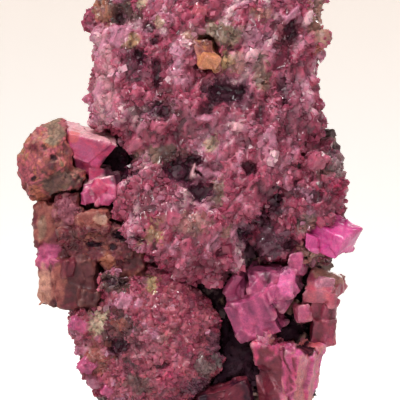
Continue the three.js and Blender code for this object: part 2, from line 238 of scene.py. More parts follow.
@dataclass
class Facets:
    """Four-cornered faces over shared points, with the values that the finishes read at each point."""

    points: Array
    quads: Array
    tint: Array
    # How much painted shade each point takes: darkening painted into joints, hollows and pits.
    depth: Array
    gloss: Array
    smooth: bool

    def face_normals(self) -> Array:
        """The normals of the faces, as long as twice their areas."""
        a, b, c, d = (self.points[self.quads[:, i]] for i in range(4))
        return np.cross(c - a, d - b)

    def normals(self) -> Array:
        """The normals of the points, each the mean over its faces."""
        across = np.repeat(self.face_normals(), 4, axis=0)
        return unit(gathered(self.quads.ravel(), across, len(self.points)))

    def relaxed(self, rounds: int, pull: float) -> Array:
        """Draws each point towards the middle of its neighbours.

        Args:
            rounds: How often.
            pull: The share of the way that a point goes each time.

        Returns:
            The new points.
        """
        ends = np.stack([self.quads.ravel(), np.roll(self.quads, -1, axis=1).ravel()])
        pairs = np.concatenate([ends, ends[::-1]], axis=1)
        count = np.maximum(np.bincount(pairs[0], minlength=len(self.points)), 1)[:, None]
        points = self.points
        for _ in range(rounds):
            points = points + pull * (gathered(pairs[0], points[pairs[1]], len(points)) / count - points)
        return points

    def bulge(self, rounds: int) -> Array:
        """How far each point stands out of its surroundings, with hollows below 0."""
        return np.einsum("ni,ni->n", self.points - self.relaxed(rounds, 0.7), self.normals())


def gathered(slots: Array, values: Array, count: int) -> Array:
    """Sums the rows of values that share a slot.

    Args:
        slots: The slot of each row.
        values: Rows of three.
        count: How many slots there are.

    Returns:
        One row of sums for each slot.
    """
    return np.stack([np.bincount(slots, values[:, i], count) for i in range(3)], axis=1)


@dataclass
class Solid:
    """Plain faces over shared points, in millimetres."""

    points: list[Vector] = field(default_factory=list)
    faces: list[tuple[int, ...]] = field(default_factory=list)

    def add_node(self, name: str) -> None:
        """Adds a solid of the frame."""
        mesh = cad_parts[name].data
        points = [vertex.co / MM for vertex in mesh.vertices]
        self.add(points, [tuple(face.vertices) for face in mesh.polygons])

    def add(self, points: list[Vector], faces: list[tuple[int, ...]]) -> None:
        """Adds points and the faces over them."""
        first = len(self.points)
        self.points += points
        self.faces += [tuple(first + i for i in face) for face in faces]

    def tree(self) -> BVHTree:
        """The faces as a tree for rays."""
        return BVHTree.FromPolygons(self.points, self.faces)

    def listed(self) -> tuple[list, list, list]:
        """The points, no edges, and the faces."""
        return self.points, [], self.faces


def voxel_skin(solid: Solid, voxel: float) -> Facets:
    """Wraps a solid in a fine even skin.

    Args:
        solid: The points and faces of the solid.
        voxel: Size of the skin's faces.

    Returns:
        The skin, with no colour yet.
    """
    mesh = bpy.data.meshes.new("carrier")
    mesh.from_pydata(*solid.listed())
    carrier = bpy.data.objects.new("carrier", mesh)
    bpy.context.collection.objects.link(carrier)
    remesh = carrier.modifiers.new("voxels", "REMESH")
    remesh.mode = "VOXEL"
    remesh.voxel_size = voxel
    made = carrier.evaluated_get(bpy.context.evaluated_depsgraph_get()).to_mesh()
    points = np.empty(3 * len(made.vertices))
    made.vertices.foreach_get("co", points)
    corners = np.empty(len(made.loops), dtype=int)
    made.loops.foreach_get("vertex_index", corners)
    count = len(made.vertices)
    bpy.data.objects.remove(carrier)
    bpy.data.meshes.remove(mesh)
    return Facets(
        points.reshape(-1, 3), corners.reshape(-1, 4), np.ones((count, 3)), np.zeros(count),
        np.full(count, 0.5), smooth=True,
    )


class OpenAir:
    """Tells where a piece lies open, and where a neighbour covers it."""

    def __init__(self, own_node: str, reach: float) -> None:
        """Gathers the neighbours of one solid.

        Args:
            own_node: The solid whose surface is asked about.
            reach: A neighbour nearer than this covers the surface.
        """
        others = Solid()
        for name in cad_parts:
            if name != own_node:
                others.add_node(name)
        self.tree = others.tree()
        self.reach = reach

    def open_at(self, places: Array, normals: Array) -> Array:
        """Whether each place has nothing close above it."""
        return np.array([
            self.tree.ray_cast(Vector(place), Vector(normal), self.reach)[0] is None
            for place, normal in zip(places, normals)
        ])


@dataclass(frozen=True)
class Area:
    """A ragged spot on the front: its middle, half its width and half its height.

    EDGE is where it fades out, as a share of its size, FRAY and TONE_FRAY how ragged its outline is, and
    BACK the depths between which it ends towards the back.
    """

    x: float
    z: float
    width: float
    height: float

    EDGE = (0.75, 1.15)
    FRAY = 0.45
    TONE_FRAY = 0.35
    BACK = (-1.0, 2.5)

    def inside(self, places: Array, seed: int, tones: Optional[Array] = None) -> Array:
        """How far inside the spot each place lies.

        Args:
            places: The places.
            seed: Picks the ragged outline.
            tones: Moves the outline in or out, so that it follows whole grains.

        Returns:
            A value from 0 outside the spot to 1 for each place.
        """
        away = np.hypot((places[:, 0] - self.x) / self.width, (places[:, 2] - self.z) / self.height)
        ragged = away + self.FRAY * noise(places, 1.1, seed) + self.FRAY * noise(places, 2.4, seed + 1)
        if tones is not None:
            ragged += self.TONE_FRAY * tones
        far_back = smoothstep(*self.BACK, places[:, 1] + 2 * noise(places, 2.0, seed + 2))
        return (1 - smoothstep(*self.EDGE, ragged)) * (1 - far_back)


@dataclass(frozen=True)
class Patch(Area):
    """A spot of another colour on the front: another mineral, and in hollows painted shade."""

    mineral: Mineral
    strength: float = 0.85

    def cover(self, places: Array, seed: int, tones: Array) -> Array:
        """How much of the spot covers each place."""
        return self.strength * self.inside(places, seed, tones)


@dataclass(frozen=True)
class Facing:
    """Another colour on the faces that look one way. It paints light on faces turned up to the lamps and
    shade on faces turned away from them, and elsewhere gives a face its own colour.
    """

    direction: tuple[float, float, float]
    mineral: Mineral
    strength: float = 0.8
    narrow: float = 0.6

    def cover(self, normals: Array) -> Array:
        """How much of it covers each normal."""
        along = normals @ unit(np.array(self.direction))
        return self.strength * smoothstep(self.narrow, self.narrow + 0.25, along)


@dataclass(frozen=True)
class Palette:
    """The minerals of a piece in their shares, and what lies over them. WIDE, MEDIUM and FINE mix them."""

    shares: tuple[tuple[Mineral, float], ...]
    cloud: float = 3.0
    mixing: float = 0.16
    spread: float = 0.1
    along: tuple[float, float, float] = (0.0, 0.0, 1.0)
    stretch: float = 1.0
    facings: tuple[Facing, ...] = ()
    patches: tuple[Patch, ...] = ()
    seed: int = 1

    WIDE = 0.62
    MEDIUM = 0.32
    FINE = 0.12

    def tint(self, places: Array, normals: Array, tones: Array) -> Array:
        """Colours for the points of a piece.

        Args:
            places: The points.
            normals: The directions that they face.
            tones: How far each leans to the last mineral, between about -1 and 1.

        Returns:
            A linear colour for each point.
        """
        minerals = np.array([mineral.linear for mineral, _ in self.shares])
        weights = np.array([share for _, share in self.shares])
        middles = (np.cumsum(weights) - weights / 2) / weights.sum()
        running = drawn_out(places, self.along, self.stretch)
        clouds = 0.5 + self.WIDE * noise(running, self.cloud, self.seed) + self.mixing * tones
        clouds += self.MEDIUM * noise(running, self.cloud / 2.7, self.seed + 1)
        clouds += self.FINE * noise(running, 0.5, self.seed + 2)
        tint = np.stack([np.interp(clouds, middles, minerals[:, i]) for i in range(3)], axis=1)
        # Facings and patches can paint light and shade: lighter faces turned to the lamps, darker faces
        # turned away, and dark spots in hollows.
        for facing in self.facings:
            tint += facing.cover(normals)[:, None] * (facing.mineral.linear - tint)
        for patch in self.patches:
            tint += patch.cover(places, self.seed + 4, tones)[:, None] * (patch.mineral.linear - tint)
        return tint * np.exp(self.spread * (tones + noise(running, 0.7, self.seed + 3)))[:, None]


@dataclass(frozen=True)
class Pit(Area):
    """A hollow in the front."""

    depth: float

    def cover(self, places: Array, normals: Array) -> Array:
        """How deep in the pit each place lies, from 0 at its rim to 1."""
        return self.inside(places, 97) * smoothstep(-0.2, 0.4, -normals[:, 1])


@dataclass(frozen=True)
class Standout:
    """One larger crystal set into a piece: its middle, width and height on the front, lean, tip and mineral.

    It stands out of the surface by a share of its size. SLANT skews it and TURN shows its side.
    """

    x: float
    z: float
    width: float
    height: float
    lean: float
    tip: float
    mineral: Mineral
    out: float = 0.1

    SLANT = 0.22
    TURN = 0.35

    def edges(self) -> Matrix:
        """Its three edges, as the columns of a matrix."""
        deep = 0.9 * min(self.width, self.height)
        box = Matrix(((self.width, 0, self.SLANT * self.height), (0, deep, 0), (0, 0, self.height)))
        return (Matrix.Rotation(self.lean, 3, "Y") @ Matrix.Rotation(self.tip, 3, "X")
                @ Matrix.Rotation(self.TURN, 3, "Z") @ box)

    def seat(self, tree: BVHTree) -> Vector:
        """Its middle, where it sits in a surface."""
        hit = tree.ray_cast(Vector((self.x, -60, self.z)), Vector((0, 1, 0)))[0]
        surface = hit or tree.find_nearest(Vector((self.x, -8, self.z)))[0]
        return surface - Vector((0, self.out * min(self.width, self.height), 0))

    def corners(self, seat: Vector) -> list[Vector]:
        """Its eight corners."""
        return [seat + self.edges() @ Vector(corner) for corner in product((-0.5, 0.5), repeat=3)]

    def cover(self, places: Array, seat: Vector) -> Array:
        """Which places lie on it, from 0 away from it to 1."""
        inside = (places - np.array(seat)) @ np.array(self.edges().inverted()).T
        return 1 - smoothstep(0.52, 0.68, np.abs(inside).max(axis=1))


class SmallCrystals:
    """Meshes of many small dolomite crystals, worked out at once."""

    SQUASH = 0.72
    QUADS = np.array([
        (0, 1, 3, 2), (4, 6, 7, 5), (0, 4, 5, 1), (2, 3, 7, 6), (0, 2, 6, 4), (1, 5, 7, 3),
    ])

    @classmethod
    def corners(cls) -> Array:
        """The eight corners of a rhomb with an edge of one, its three-fold axis along Z."""
        cube = np.array(list(product((-0.5, 0.5), repeat=3)))
        up = unit(np.array([1.0, 1.0, 1.0]))
        side = unit(np.array([1.0, -1.0, 0.0]))
        return cube @ np.stack([side, np.cross(up, side), up], axis=1) * (1, 1, cls.SQUASH)

    @classmethod
    def grown(
        cls, sites: Array, axes: Array, sizes: Array, habits: Array, tint: Array, depth: Array,
        dice: np.random.Generator,
    ) -> Facets:
        """Grows a crystal at each site.

        Args:
            sites: The middles of the crystals.
            axes: The directions of their three-fold axes.
            sizes: The lengths of their edges.
            habits: Their proportions, in rows of three.
            tint: Their colours.
            depth: How much painted shade each takes from the hollow or pit that it stands in.
            dice: Draws their turns and flaws.

        Returns:
            All the crystals as one set of faces.
        """
        count = len(sites)
        up = unit(axes)
        side = unit(np.cross(up, unit(dice.normal(size=(count, 3)))))
        basis = np.stack([side, np.cross(up, side), up], axis=1)
        shape = cls.corners()[None] * habits[:, None] * (1 + 0.09 * dice.normal(size=(count, 8, 3)))
        points = np.einsum("nij,njk->nik", shape * sizes[:, None, None], basis) + sites[:, None]
        quads = cls.QUADS[None] + 8 * np.arange(count)[:, None, None]
        return Facets(
            points.reshape(-1, 3), quads.reshape(-1, 4), np.repeat(tint, 8, axis=0),
            np.repeat(depth, 8), np.repeat(dice.random(count), 8), smooth=False,
        )


class Desk:
    """Sets out and links the nodes of one node tree."""

    def __init__(self, tree: bpy.types.NodeTree) -> None:
        """Starts on an empty tree."""
        self.tree = tree
        tree.nodes.clear()

    def node(self, kind: str, settings: Optional[dict] = None, **inputs: object) -> bpy.types.Node:
        """Adds a node.

        Args:
            kind: The node's type.
            settings: Its own properties.
            inputs: Values or sockets for its inputs, with _ for a space in an input's name.

        Returns:
            The node.
        """
        node = self.tree.nodes.new(kind)
        for name, value in (settings or {}).items():
            setattr(node, name, value)
        for name, value in inputs.items():
            self.feed(node.inputs[name.replace("_", " ")], value)
        return node

    def feed(self, socket: bpy.types.NodeSocket, value: object) -> None:
        """Links a socket to an input, or sets its value."""
        if isinstance(value, bpy.types.NodeSocket):
            self.tree.links.new(value, socket)
        else:
            socket.default_value = value

    def maths(self, operation: str, first: object, second: object = 0.0) -> bpy.types.NodeSocket:
        """One sum on two values."""
        node = self.node("ShaderNodeMath", {"operation": operation})
        self.feed(node.inputs[0], first)
        self.feed(node.inputs[1], second)
        return node.outputs[0]

    def blend(self, factor: object, first: object, second: object) -> bpy.types.NodeSocket:
        """A mix of two colours."""
        node = self.node("ShaderNodeMix", {"data_type": "RGBA"})
        self.feed(node.inputs[0], factor)
        self.feed(node.inputs[6], first)
        self.feed(node.inputs[7], second)
        return node.outputs[2]

    def speckle(self, place: object, size: object, detail: float = 3.0) -> bpy.types.NodeSocket:
        """Noise with lumps of the given size, from 0 to 1."""
        node = self.node("ShaderNodeTexNoise", Vector=place, Detail=detail)
        self.feed(node.inputs["Scale"], self.maths("DIVIDE", 1.0, size))
        return node.outputs["Fac"]


class Effects:
    """The effects that several finishes share, each a node group that is built once."""

    def __init__(self) -> None:
        """Builds the groups."""
        self.mottle = self.mottle_group()
        self.painted_shade = self.painted_shade_group()
        self.grain = self.grain_group()
        self.growth = self.growth_group()
        self.sheen = self.sheen_group()

    @staticmethod
    def started(
        name: str, inputs: dict[str, str], output: tuple[str, str],
    ) -> tuple[Desk, dict, bpy.types.Node]:
        """Starts a group.

        Args:
            name: The group's name.
            inputs: The kind of each input socket.
            output: The name and kind of its output socket.

        Returns:
            The desk, the input sockets by name, and the output node.
        """
        tree = bpy.data.node_groups.new(name, "ShaderNodeTree")
        desk = Desk(tree)
        for label, kind in inputs.items():
            tree.interface.new_socket(label, in_out="INPUT", socket_type=f"NodeSocket{kind}")
        tree.interface.new_socket(output[0], in_out="OUTPUT", socket_type=f"NodeSocket{output[1]}")
        entry = desk.node("NodeGroupInput")
        return desk, {label: entry.outputs[label] for label in inputs}, desk.node("NodeGroupOutput")

    def mottle_group(self) -> bpy.types.NodeTree:
        """Cloudy differences in hue and brightness."""
        desk, given, out = self.started(
            "mineral_mottle", {"Colour": "Color", "Place": "Vector", "Size": "Float", "Strength": "Float"},
            ("Colour", "Color"),
        )
        wide = desk.speckle(given["Place"], given["Size"])
        fine = desk.speckle(given["Place"], desk.maths("MULTIPLY", given["Size"], 0.23))
        both = desk.maths("ADD", wide, fine)
        swing = desk.maths("MULTIPLY", desk.maths("SUBTRACT", both, 1.0), given["Strength"])
        hue = desk.maths("ADD", desk.maths("MULTIPLY", swing, 0.05), 0.5)
        value = desk.maths("ADD", desk.maths("MULTIPLY", swing, 1.6), 1.0)
        shift = desk.node("ShaderNodeHueSaturation", Hue=hue, Value=value, Color=given["Colour"])
        desk.feed(out.inputs["Colour"], shift.outputs["Color"])
        return desk.tree

    def painted_shade_group(self) -> bpy.types.NodeTree:
        """Painted shade: darkens the colour towards a shade colour in joints, hollows and pits, as far as the
        depth mask says.
        """
        desk, given, out = self.started(
            "painted_pit_shade",
            {"Colour": "Color", "Grime": "Color", "Depth": "Float", "Place": "Vector", "Amount": "Float"},
            ("Colour", "Color"),
        )
        ragged = desk.maths("ADD", desk.speckle(given["Place"], 0.6), 0.45)
        deep = desk.maths("MULTIPLY", desk.maths("MULTIPLY", given["Depth"], ragged), given["Amount"])
        shaded = desk.blend(desk.maths("MINIMUM", deep, 0.97), given["Colour"], given["Grime"])
        desk.feed(out.inputs["Colour"], shaded)
        return desk.tree

    def grain_group(self) -> bpy.types.NodeTree:
        """Fine grain, as a height."""
        desk, given, out = self.started(
            "fine_grain", {"Place": "Vector", "Size": "Float"}, ("Height", "Float"),
        )
        lumps = desk.speckle(given["Place"], given["Size"], 5.0)
        cells = desk.node("ShaderNodeTexVoronoi", Vector=given["Place"])
        desk.feed(cells.inputs["Scale"], desk.maths("DIVIDE", 0.7, given["Size"]))
        height = desk.maths("ADD", lumps, desk.maths("MULTIPLY", cells.outputs["Distance"], 0.5))
        desk.feed(out.inputs["Height"], height)
        return desk.tree

    def growth_group(self) -> bpy.types.NodeTree:
        """Growth lines on the faces of a crystal, as a height."""
        desk, given, out = self.started(
            "growth_lines", {"Place": "Vector", "Across": "Vector", "Spacing": "Float"}, ("Height", "Float"),
        )
        along = desk.node("ShaderNodeVectorMath", {"operation": "DOT_PRODUCT"})
        desk.feed(along.inputs[0], given["Place"])
        desk.feed(along.inputs[1], given["Across"])
        wander = desk.maths("MULTIPLY", desk.speckle(given["Place"], 2.5), 2.2)
        rows = desk.maths("DIVIDE", along.outputs["Value"], given["Spacing"])
        step = desk.maths("FRACT", desk.maths("ADD", rows, wander))
        patchy = desk.speckle(given["Place"], 1.7)
        desk.feed(out.inputs["Height"], desk.maths("MULTIPLY", step, patchy))
        return desk.tree

    def sheen_group(self) -> bpy.types.NodeTree:
        """Gloss that differs from facet to facet, as a roughness."""
        desk, given, out = self.started(
            "facet_gloss",
            {"Place": "Vector", "Facet": "Float", "Smoothest": "Float", "Roughest": "Float"},
            ("Roughness", "Float"),
        )
        facets = desk.maths("MULTIPLY", desk.maths("POWER", given["Facet"], 1.2), 0.75)
        mixed = desk.maths("ADD", facets, desk.maths("MULTIPLY", desk.speckle(given["Place"], 0.4), 0.25))
        span = desk.maths("SUBTRACT", given["Roughest"], given["Smoothest"])
        above = desk.maths("MULTIPLY", span, mixed)
        desk.feed(out.inputs["Roughness"], desk.maths("ADD", given["Smoothest"], above))
        return desk.tree


@dataclass(frozen=True)
class Finish:
    """A mineral's finish: how it takes the light, and how fine its surface is."""

    name: str
    smoothest: float
    roughest: float
    clarity: float = 0.0
    glow_depth: float = 0.8
    coat: float = 0.0
    specular: float = 0.5
    mottle_size: float = 0.9
    mottle: float = 0.35
    grain_size: float = 0.25
    grain: float = 0.25
    lines: float = 0.0
    line_spacing: float = 0.5
    line_across: tuple[float, float, float] = (0.3, 0.2, 0.9)
    # The two fields below paint shade: the colour laid into joints, hollows and pits, and how strongly.
    painted_shade: Mineral = Mineral.SHADOW_PURPLE
    painted_shade_amount: float = 1.0

    def material(self, effects: Effects) -> bpy.types.Material:
        """Builds the material.

        Args:
            effects: The shared node groups.

        Returns:
            The material, ready for a piece.
        """
        material = bpy.data.materials.new(self.name)
        material.use_nodes = True
        desk = Desk(material.node_tree)
        place = desk.node("ShaderNodeVectorMath", {"operation": "SCALE"})
        desk.feed(place.inputs[0], desk.node("ShaderNodeTexCoord").outputs["Object"])
        place.inputs["Scale"].default_value = 1 / MM
        where = place.outputs[0]
        tint = self.read(desk, "tint").outputs["Color"]
        depth = self.read(desk, "depth").outputs["Fac"]
        facet = self.read(desk, "gloss").outputs["Fac"]
        group = {"mottle": effects.mottle, "painted_shade": effects.painted_shade, "grain": effects.grain,
                 "growth": effects.growth, "sheen": effects.sheen}
        placed = {name: {"node_tree": tree} for name, tree in group.items()}
        mottled = desk.node(
            "ShaderNodeGroup", placed["mottle"], Colour=tint, Place=where, Size=self.mottle_size,
            Strength=self.mottle,
        )
        # Painted shade: the colour darkens in joints, hollows and pits as far as the depth mask says.
        shaded = desk.node(
            "ShaderNodeGroup", placed["painted_shade"], Colour=mottled.outputs[0], Grime=(*self.painted_shade.linear, 1),
            Depth=depth, Place=where, Amount=self.painted_shade_amount,
        )
        gloss = desk.node(
            "ShaderNodeGroup", placed["sheen"], Place=where, Facet=facet, Smoothest=self.smoothest,
            Roughest=self.roughest,
        )
        grain = desk.node("ShaderNodeGroup", placed["grain"], Place=where, Size=self.grain_size)
        height = desk.maths("MULTIPLY", grain.outputs[0], self.grain)
        if self.lines:
            lines = desk.node(
                "ShaderNodeGroup", placed["growth"], Place=where, Across=self.line_across,
                Spacing=self.line_spacing,
            )
            height = desk.maths("ADD", height, desk.maths("MULTIPLY", lines.outputs[0], self.lines))
        bump = desk.node("ShaderNodeBump", Height=height, Strength=0.6, Distance=0.12 * MM)
        shader = desk.node(
            "ShaderNodeBsdfPrincipled", Base_Color=shaded.outputs[0], Roughness=gloss.outputs[0],
            Normal=bump.outputs[0], IOR=1.6,
        )
        shader.inputs["Subsurface Weight"].default_value = self.clarity
        shader.inputs["Subsurface Radius"].default_value = (1.0, 0.45, 0.75)
        shader.inputs["Subsurface Scale"].default_value = self.glow_depth * MM
        shader.inputs["Specular IOR Level"].default_value = self.specular
        shader.inputs["Coat Weight"].default_value = self.coat
        shader.inputs["Coat Roughness"].default_value = 0.12
        desk.node("ShaderNodeOutputMaterial", Surface=shader.outputs[0])
        return material

    @staticmethod
    def read(desk: Desk, attribute: str) -> bpy.types.Node:
        """A node that reads an attribute of the mesh."""
        return desk.node("ShaderNodeAttribute", {"attribute_name": attribute})


@dataclass
class MineralPiece:
    """A piece that is grown over one solid of the frame and stands for it.

    RESTING is the height under which the skin stands on the base. QUIET is how much the relief gives way on
    larger crystals and in calm areas. JOINT is how wide the joints between grains are, and JOINT_SHADE how
    much shade is painted into them. Hollows of the sizes NEAR and FAR get painted shade over the depths
    NEAR_SPAN and FAR_SPAN, and SHADE_LOSS is the share of that painted shade that larger crystals lose;
    LARGE_GLOSS is their gloss. Companions of small crystals have the size COMPANION_SIZE and stray by STRAY.
    SMALLEST and LARGEST bound the small crystals, LOWEST is the height from which they grow, and ON_LARGE the
    cover by a larger crystal that never keeps them off.
    """

    RESTING = 0.08
    QUIET = 0.5
    JOINT = (0.02, 0.22)
    JOINT_SHADE = 0.55
    NEAR = 1.2
    NEAR_SPAN = (0.04, 0.4)
    FAR = 6.0
    FAR_SPAN = (0.1, 0.6)
    SHADE_LOSS = 0.7
    LARGE_GLOSS = 0.1
    STRAY = 0.3
    COMPANION_SIZE = 0.72
    SMALLEST = 0.45
    LARGEST = 2.3
    LOWEST = 0.8
    ON_LARGE = 0.2

    name: str
    node: str
    finish: Finish
    palette: Palette
    slot: str = "pink_druse"
    voxel: float = 0.3
    rounding: int = 2
    easing: int = 0
    relief: tuple[tuple[float, float], ...] = ((3.0, 0.35), (1.1, 0.22))
    flats: tuple[tuple[float, float], ...] = ()
    grain: float = 0.0
    grain_height: float = 0.0
    pits: tuple[Pit, ...] = ()
    standouts: tuple[Standout, ...] = ()
    calm_areas: tuple[Area, ...] = ()
    run: tuple[float, float, float] = (0.3, 0.0, 0.95)
    run_length: float = 1.0
    # The two fields below paint a highlight: edges that stand out are lightened towards a given colour, by
    # this much.
    edge_highlight_colour: Mineral = Mineral.PALE_PINK
    edge_highlight: float = 0.0
    grit_areas: tuple[Area, ...] = ()
    crystal_size: float = 0.0
    crystal_spacing: float = 0.6
    size_spread: float = 0.3
    tumble: float = 0.9
    lie: float = 0.0
    sunk: float = 0.22
    habits: tuple[tuple[Habit, float], ...] = ((Habit.RHOMB, 1.0),)
    companions: float = 0.4
    clearance: float = 0.5
    seed: int = 1
    dice: np.random.Generator = field(init=False)
    seats: list[Vector] = field(init=False)

    def __post_init__(self) -> None:
        """Seeds the draws of the piece."""
        self.dice = np.random.default_rng(self.seed)
        self.seats = []

    def solid(self) -> Solid:
        """The solid of the frame with the larger crystals set in."""
        solid = Solid()
        solid.add_node(self.node)
        tree = solid.tree()
        faces = [tuple(face) for face in SmallCrystals.QUADS.tolist()]
        for one in self.standouts:
            self.seats.append(one.seat(tree))
            solid.add(one.corners(self.seats[-1]), faces)
        return solid

    def grains(self, places: Array) -> Cells:
        """The grains of the piece around some places."""
        running = drawn_out(places, self.run, self.run_length)
        return Cells(running, self.grain or 1.0, self.seed + Draw.GRAINS)

    def lift(self, places: Array, grains: Cells) -> Array:
        """How far the relief, the flats and the grains lift each place."""
        running = drawn_out(places, self.run, self.run_length)
        lift = np.zeros(len(places))
        for order, (spacing, height) in enumerate(self.relief):
            lift += height * noise(running, spacing, self.seed + order)
        for order, (spacing, height) in enumerate(self.flats):
            lift += height * Cells(running, spacing, self.seed + Draw.FLATS + order).flats()
        if self.grain:
            lift += self.grain_height * grains.domes()
        return lift

    def skin(self) -> Facets:
        """The skin of the solid with its relief, grains and pits, shade painted into its joints, hollows and
        pits, and a painted highlight on the edges that stand out.
        """
        skin = voxel_skin(self.solid(), self.voxel)
        resting = skin.points[:, 2] < self.RESTING
        foot = skin.points[resting] * (1, 1, 0)
        skin.points = skin.relaxed(self.rounding, 0.5)
        normals = skin.normals()
        before = skin.points
        large = self.on_larger(before)
        quiet = [large, *(area.inside(before, self.seed) for area in self.calm_areas)]
        calm = 1 - self.QUIET * np.max(quiet, axis=0)
        grains = self.grains(before)
        # Painted shade in the joints between grains.
        if self.grain:
            skin.depth = self.JOINT_SHADE * calm * (1 - smoothstep(*self.JOINT, grains.border))
        skin.points = before + normals * (self.lift(before, grains) * calm)[:, None]
        skin.points = skin.relaxed(self.easing, 0.5)
        self.shape(skin, normals)
        # Pits are pushed back, and shade is painted into them.
        for pit in self.pits:
            cover = pit.cover(before, normals) * (1 - large)
            skin.points[:, 1] += pit.depth * cover
            skin.depth = np.maximum(skin.depth, cover)
        skin.points[resting] = foot
        # Painted shade: hollows of two sizes, found by how far the skin sinks below a smoothed copy, are
        # darkened; larger crystals keep less of it.
        bulge = skin.bulge(max(4, round(self.NEAR / self.voxel)))
        hollow = skin.bulge(round(self.FAR / self.voxel))
        for darkest, span, height in ((0.7, self.NEAR_SPAN, bulge), (0.8, self.FAR_SPAN, hollow)):
            skin.depth = np.maximum(skin.depth, darkest * smoothstep(*span, -height))
        skin.depth *= 1 - self.SHADE_LOSS * large
        skin.gloss = np.where(large > 0.5, self.LARGE_GLOSS, 0.5 + 0.5 * grains.tone)
        tones = grains.tone if self.grain else np.zeros(len(before))
        skin.tint = self.coloured(before, skin.normals(), tones)
        # Painted highlight: edges that stand out are lightened, as if they caught the light.
        glow = self.edge_highlight * smoothstep(0.02, 0.2, bulge)[:, None]
        skin.tint += glow * (self.edge_highlight_colour.linear - skin.tint)
        return skin

    def on_larger(self, places: Array) -> Array:
        """Which places lie on one of the larger crystals, from 0 to 1."""
        covers = [one.cover(places, seat) for one, seat in zip(self.standouts, self.seats)]
        return np.max([np.zeros(len(places)), *covers], axis=0)

    def coloured(self, places: Array, normals: Array, tones: Array) -> Array:
        """The colours of some places, with those of the larger crystals."""
        tint = self.palette.tint(places, normals, tones)
        for one, seat in zip(self.standouts, self.seats):
            shade = one.mineral.linear * (1 + 0.25 * noise(places, 0.9, self.seed))[:, None]
            tint += 0.85 * one.cover(places, seat)[:, None] * (shade - tint)
        return tint

    def shape(self, skin: Facets, normals: Array) -> None:
        """Gives the skin its own form. A plain piece has none."""

    def sites(self, skin: Facets) -> tuple[Array, Array, Array]:
        """Evenly spread places on the open skin.

        Args:
            skin: The skin that carries the crystals.

        Returns:
            The places, their outward directions and how much painted shade each takes.
        """
        sizes = np.linalg.norm(skin.face_normals(), axis=1)
        cell = self.crystal_spacing
        count = int(5 * sizes.sum() / 2 / cell**2)
        picks = self.dice.choice(len(sizes), count, p=sizes / sizes.sum())
        corners = skin.quads[picks]
        share = self.dice.random((count, 2))
        weights = np.stack([
            (1 - share[:, 0]) * (1 - share[:, 1]), share[:, 0] * (1 - share[:, 1]),
            share[:, 0] * share[:, 1], (1 - share[:, 0]) * share[:, 1],
        ], axis=1)
        places = np.einsum("nk,nki->ni", weights, skin.points[corners])
        _, first = np.unique(np.floor(places / cell).astype(int), axis=0, return_index=True)
        places = places[first]
        normals = unit(np.einsum("nk,nki->ni", weights[first], skin.normals()[corners[first]]))
        depth = np.einsum("nk,nk->n", weights[first], skin.depth[corners[first]])
        kept = self.chosen(places, normals) & (places[:, 2] > self.LOWEST)
        kept &= self.on_larger(places) < self.dice.random(len(places)) + self.ON_LARGE
        places, normals, depth = places[kept], normals[kept], depth[kept]
        free = OpenAir(self.node, self.clearance).open_at(places, normals)
        return places[free], normals[free], depth[free]

    def chosen(self, places: Array, normals: Array) -> Array:
        """Which places carry a small crystal: all of them, unless the piece has its areas for it."""
        if not self.grit_areas:
            return np.ones(len(places), dtype=bool)
        return np.max([area.inside(places, self.seed) for area in self.grit_areas], axis=0) > 0.4

    def crystals(self, skin: Facets) -> Facets:
        """The small crystals on the skin."""
        places, normals, depth = self.sites(skin)
        repeats = 1 + (self.dice.random(len(places)) < self.companions)
        first = np.repeat(np.arange(len(places)), repeats)
        count = len(first)
        wander = np.stack([noise(places, 2.4, self.seed + Draw.WANDER + i) for i in range(3)], axis=1)
        axes = normals + self.lie * unit(np.array(self.run))
        axes += self.tumble * (wander + 0.7 * self.dice.normal(size=places.shape))
        usual = self.crystal_size * (1 + 0.45 * noise(places, 4.5, self.seed + Draw.SIZES))
        sizes = usual * np.exp(self.size_spread * self.dice.normal(size=len(places)))
        sizes = np.clip(sizes, self.SMALLEST * self.crystal_size, self.LARGEST * self.crystal_size)
        own = np.concatenate([[0], np.cumsum(repeats)[:-1]])
        shrink = np.full(count, self.COMPANION_SIZE)
        shrink[own] = 1.0
        shift = self.STRAY * self.dice.normal(size=(count, 3)) * sizes[first][:, None]
        shift[own] = 0
        chances = np.array([chance for _, chance in self.habits])
        kinds = self.dice.choice(len(chances), count, p=chances / chances.sum())
        shapes = np.array([habit.value for habit, _ in self.habits])[kinds]
        sites = places[first] - (self.sunk * sizes)[first][:, None] * normals[first] + shift
        tones = 0.7 * self.grains(places).tone + 0.5 * self.dice.normal(size=len(places))
        tint = self.coloured(places, normals, tones)
        # Each small crystal takes the painted shade of the skin where it stands.
        return SmallCrystals.grown(
            sites, axes[first], sizes[first] * shrink, shapes, tint[first], depth[first], self.dice,
        )

    def build(self, effects: Effects) -> bpy.types.Object:
        """Grows the piece, dresses it and sets it in the frame.

        Args:
            effects: The shared node groups.

        Returns:
            The piece.
        """
        skin = self.skin()
        layers = [skin]
        if self.crystal_size:
            layers.append(self.crystals(skin))
        piece = mesh_piece(self.name, layers)
        piece.data.materials.append(self.finish.material(effects))
        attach(piece, "root")
        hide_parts(self.node)
        log.info("%s: %d four-sided faces", self.name, len(piece.data.polygons))
        return piece


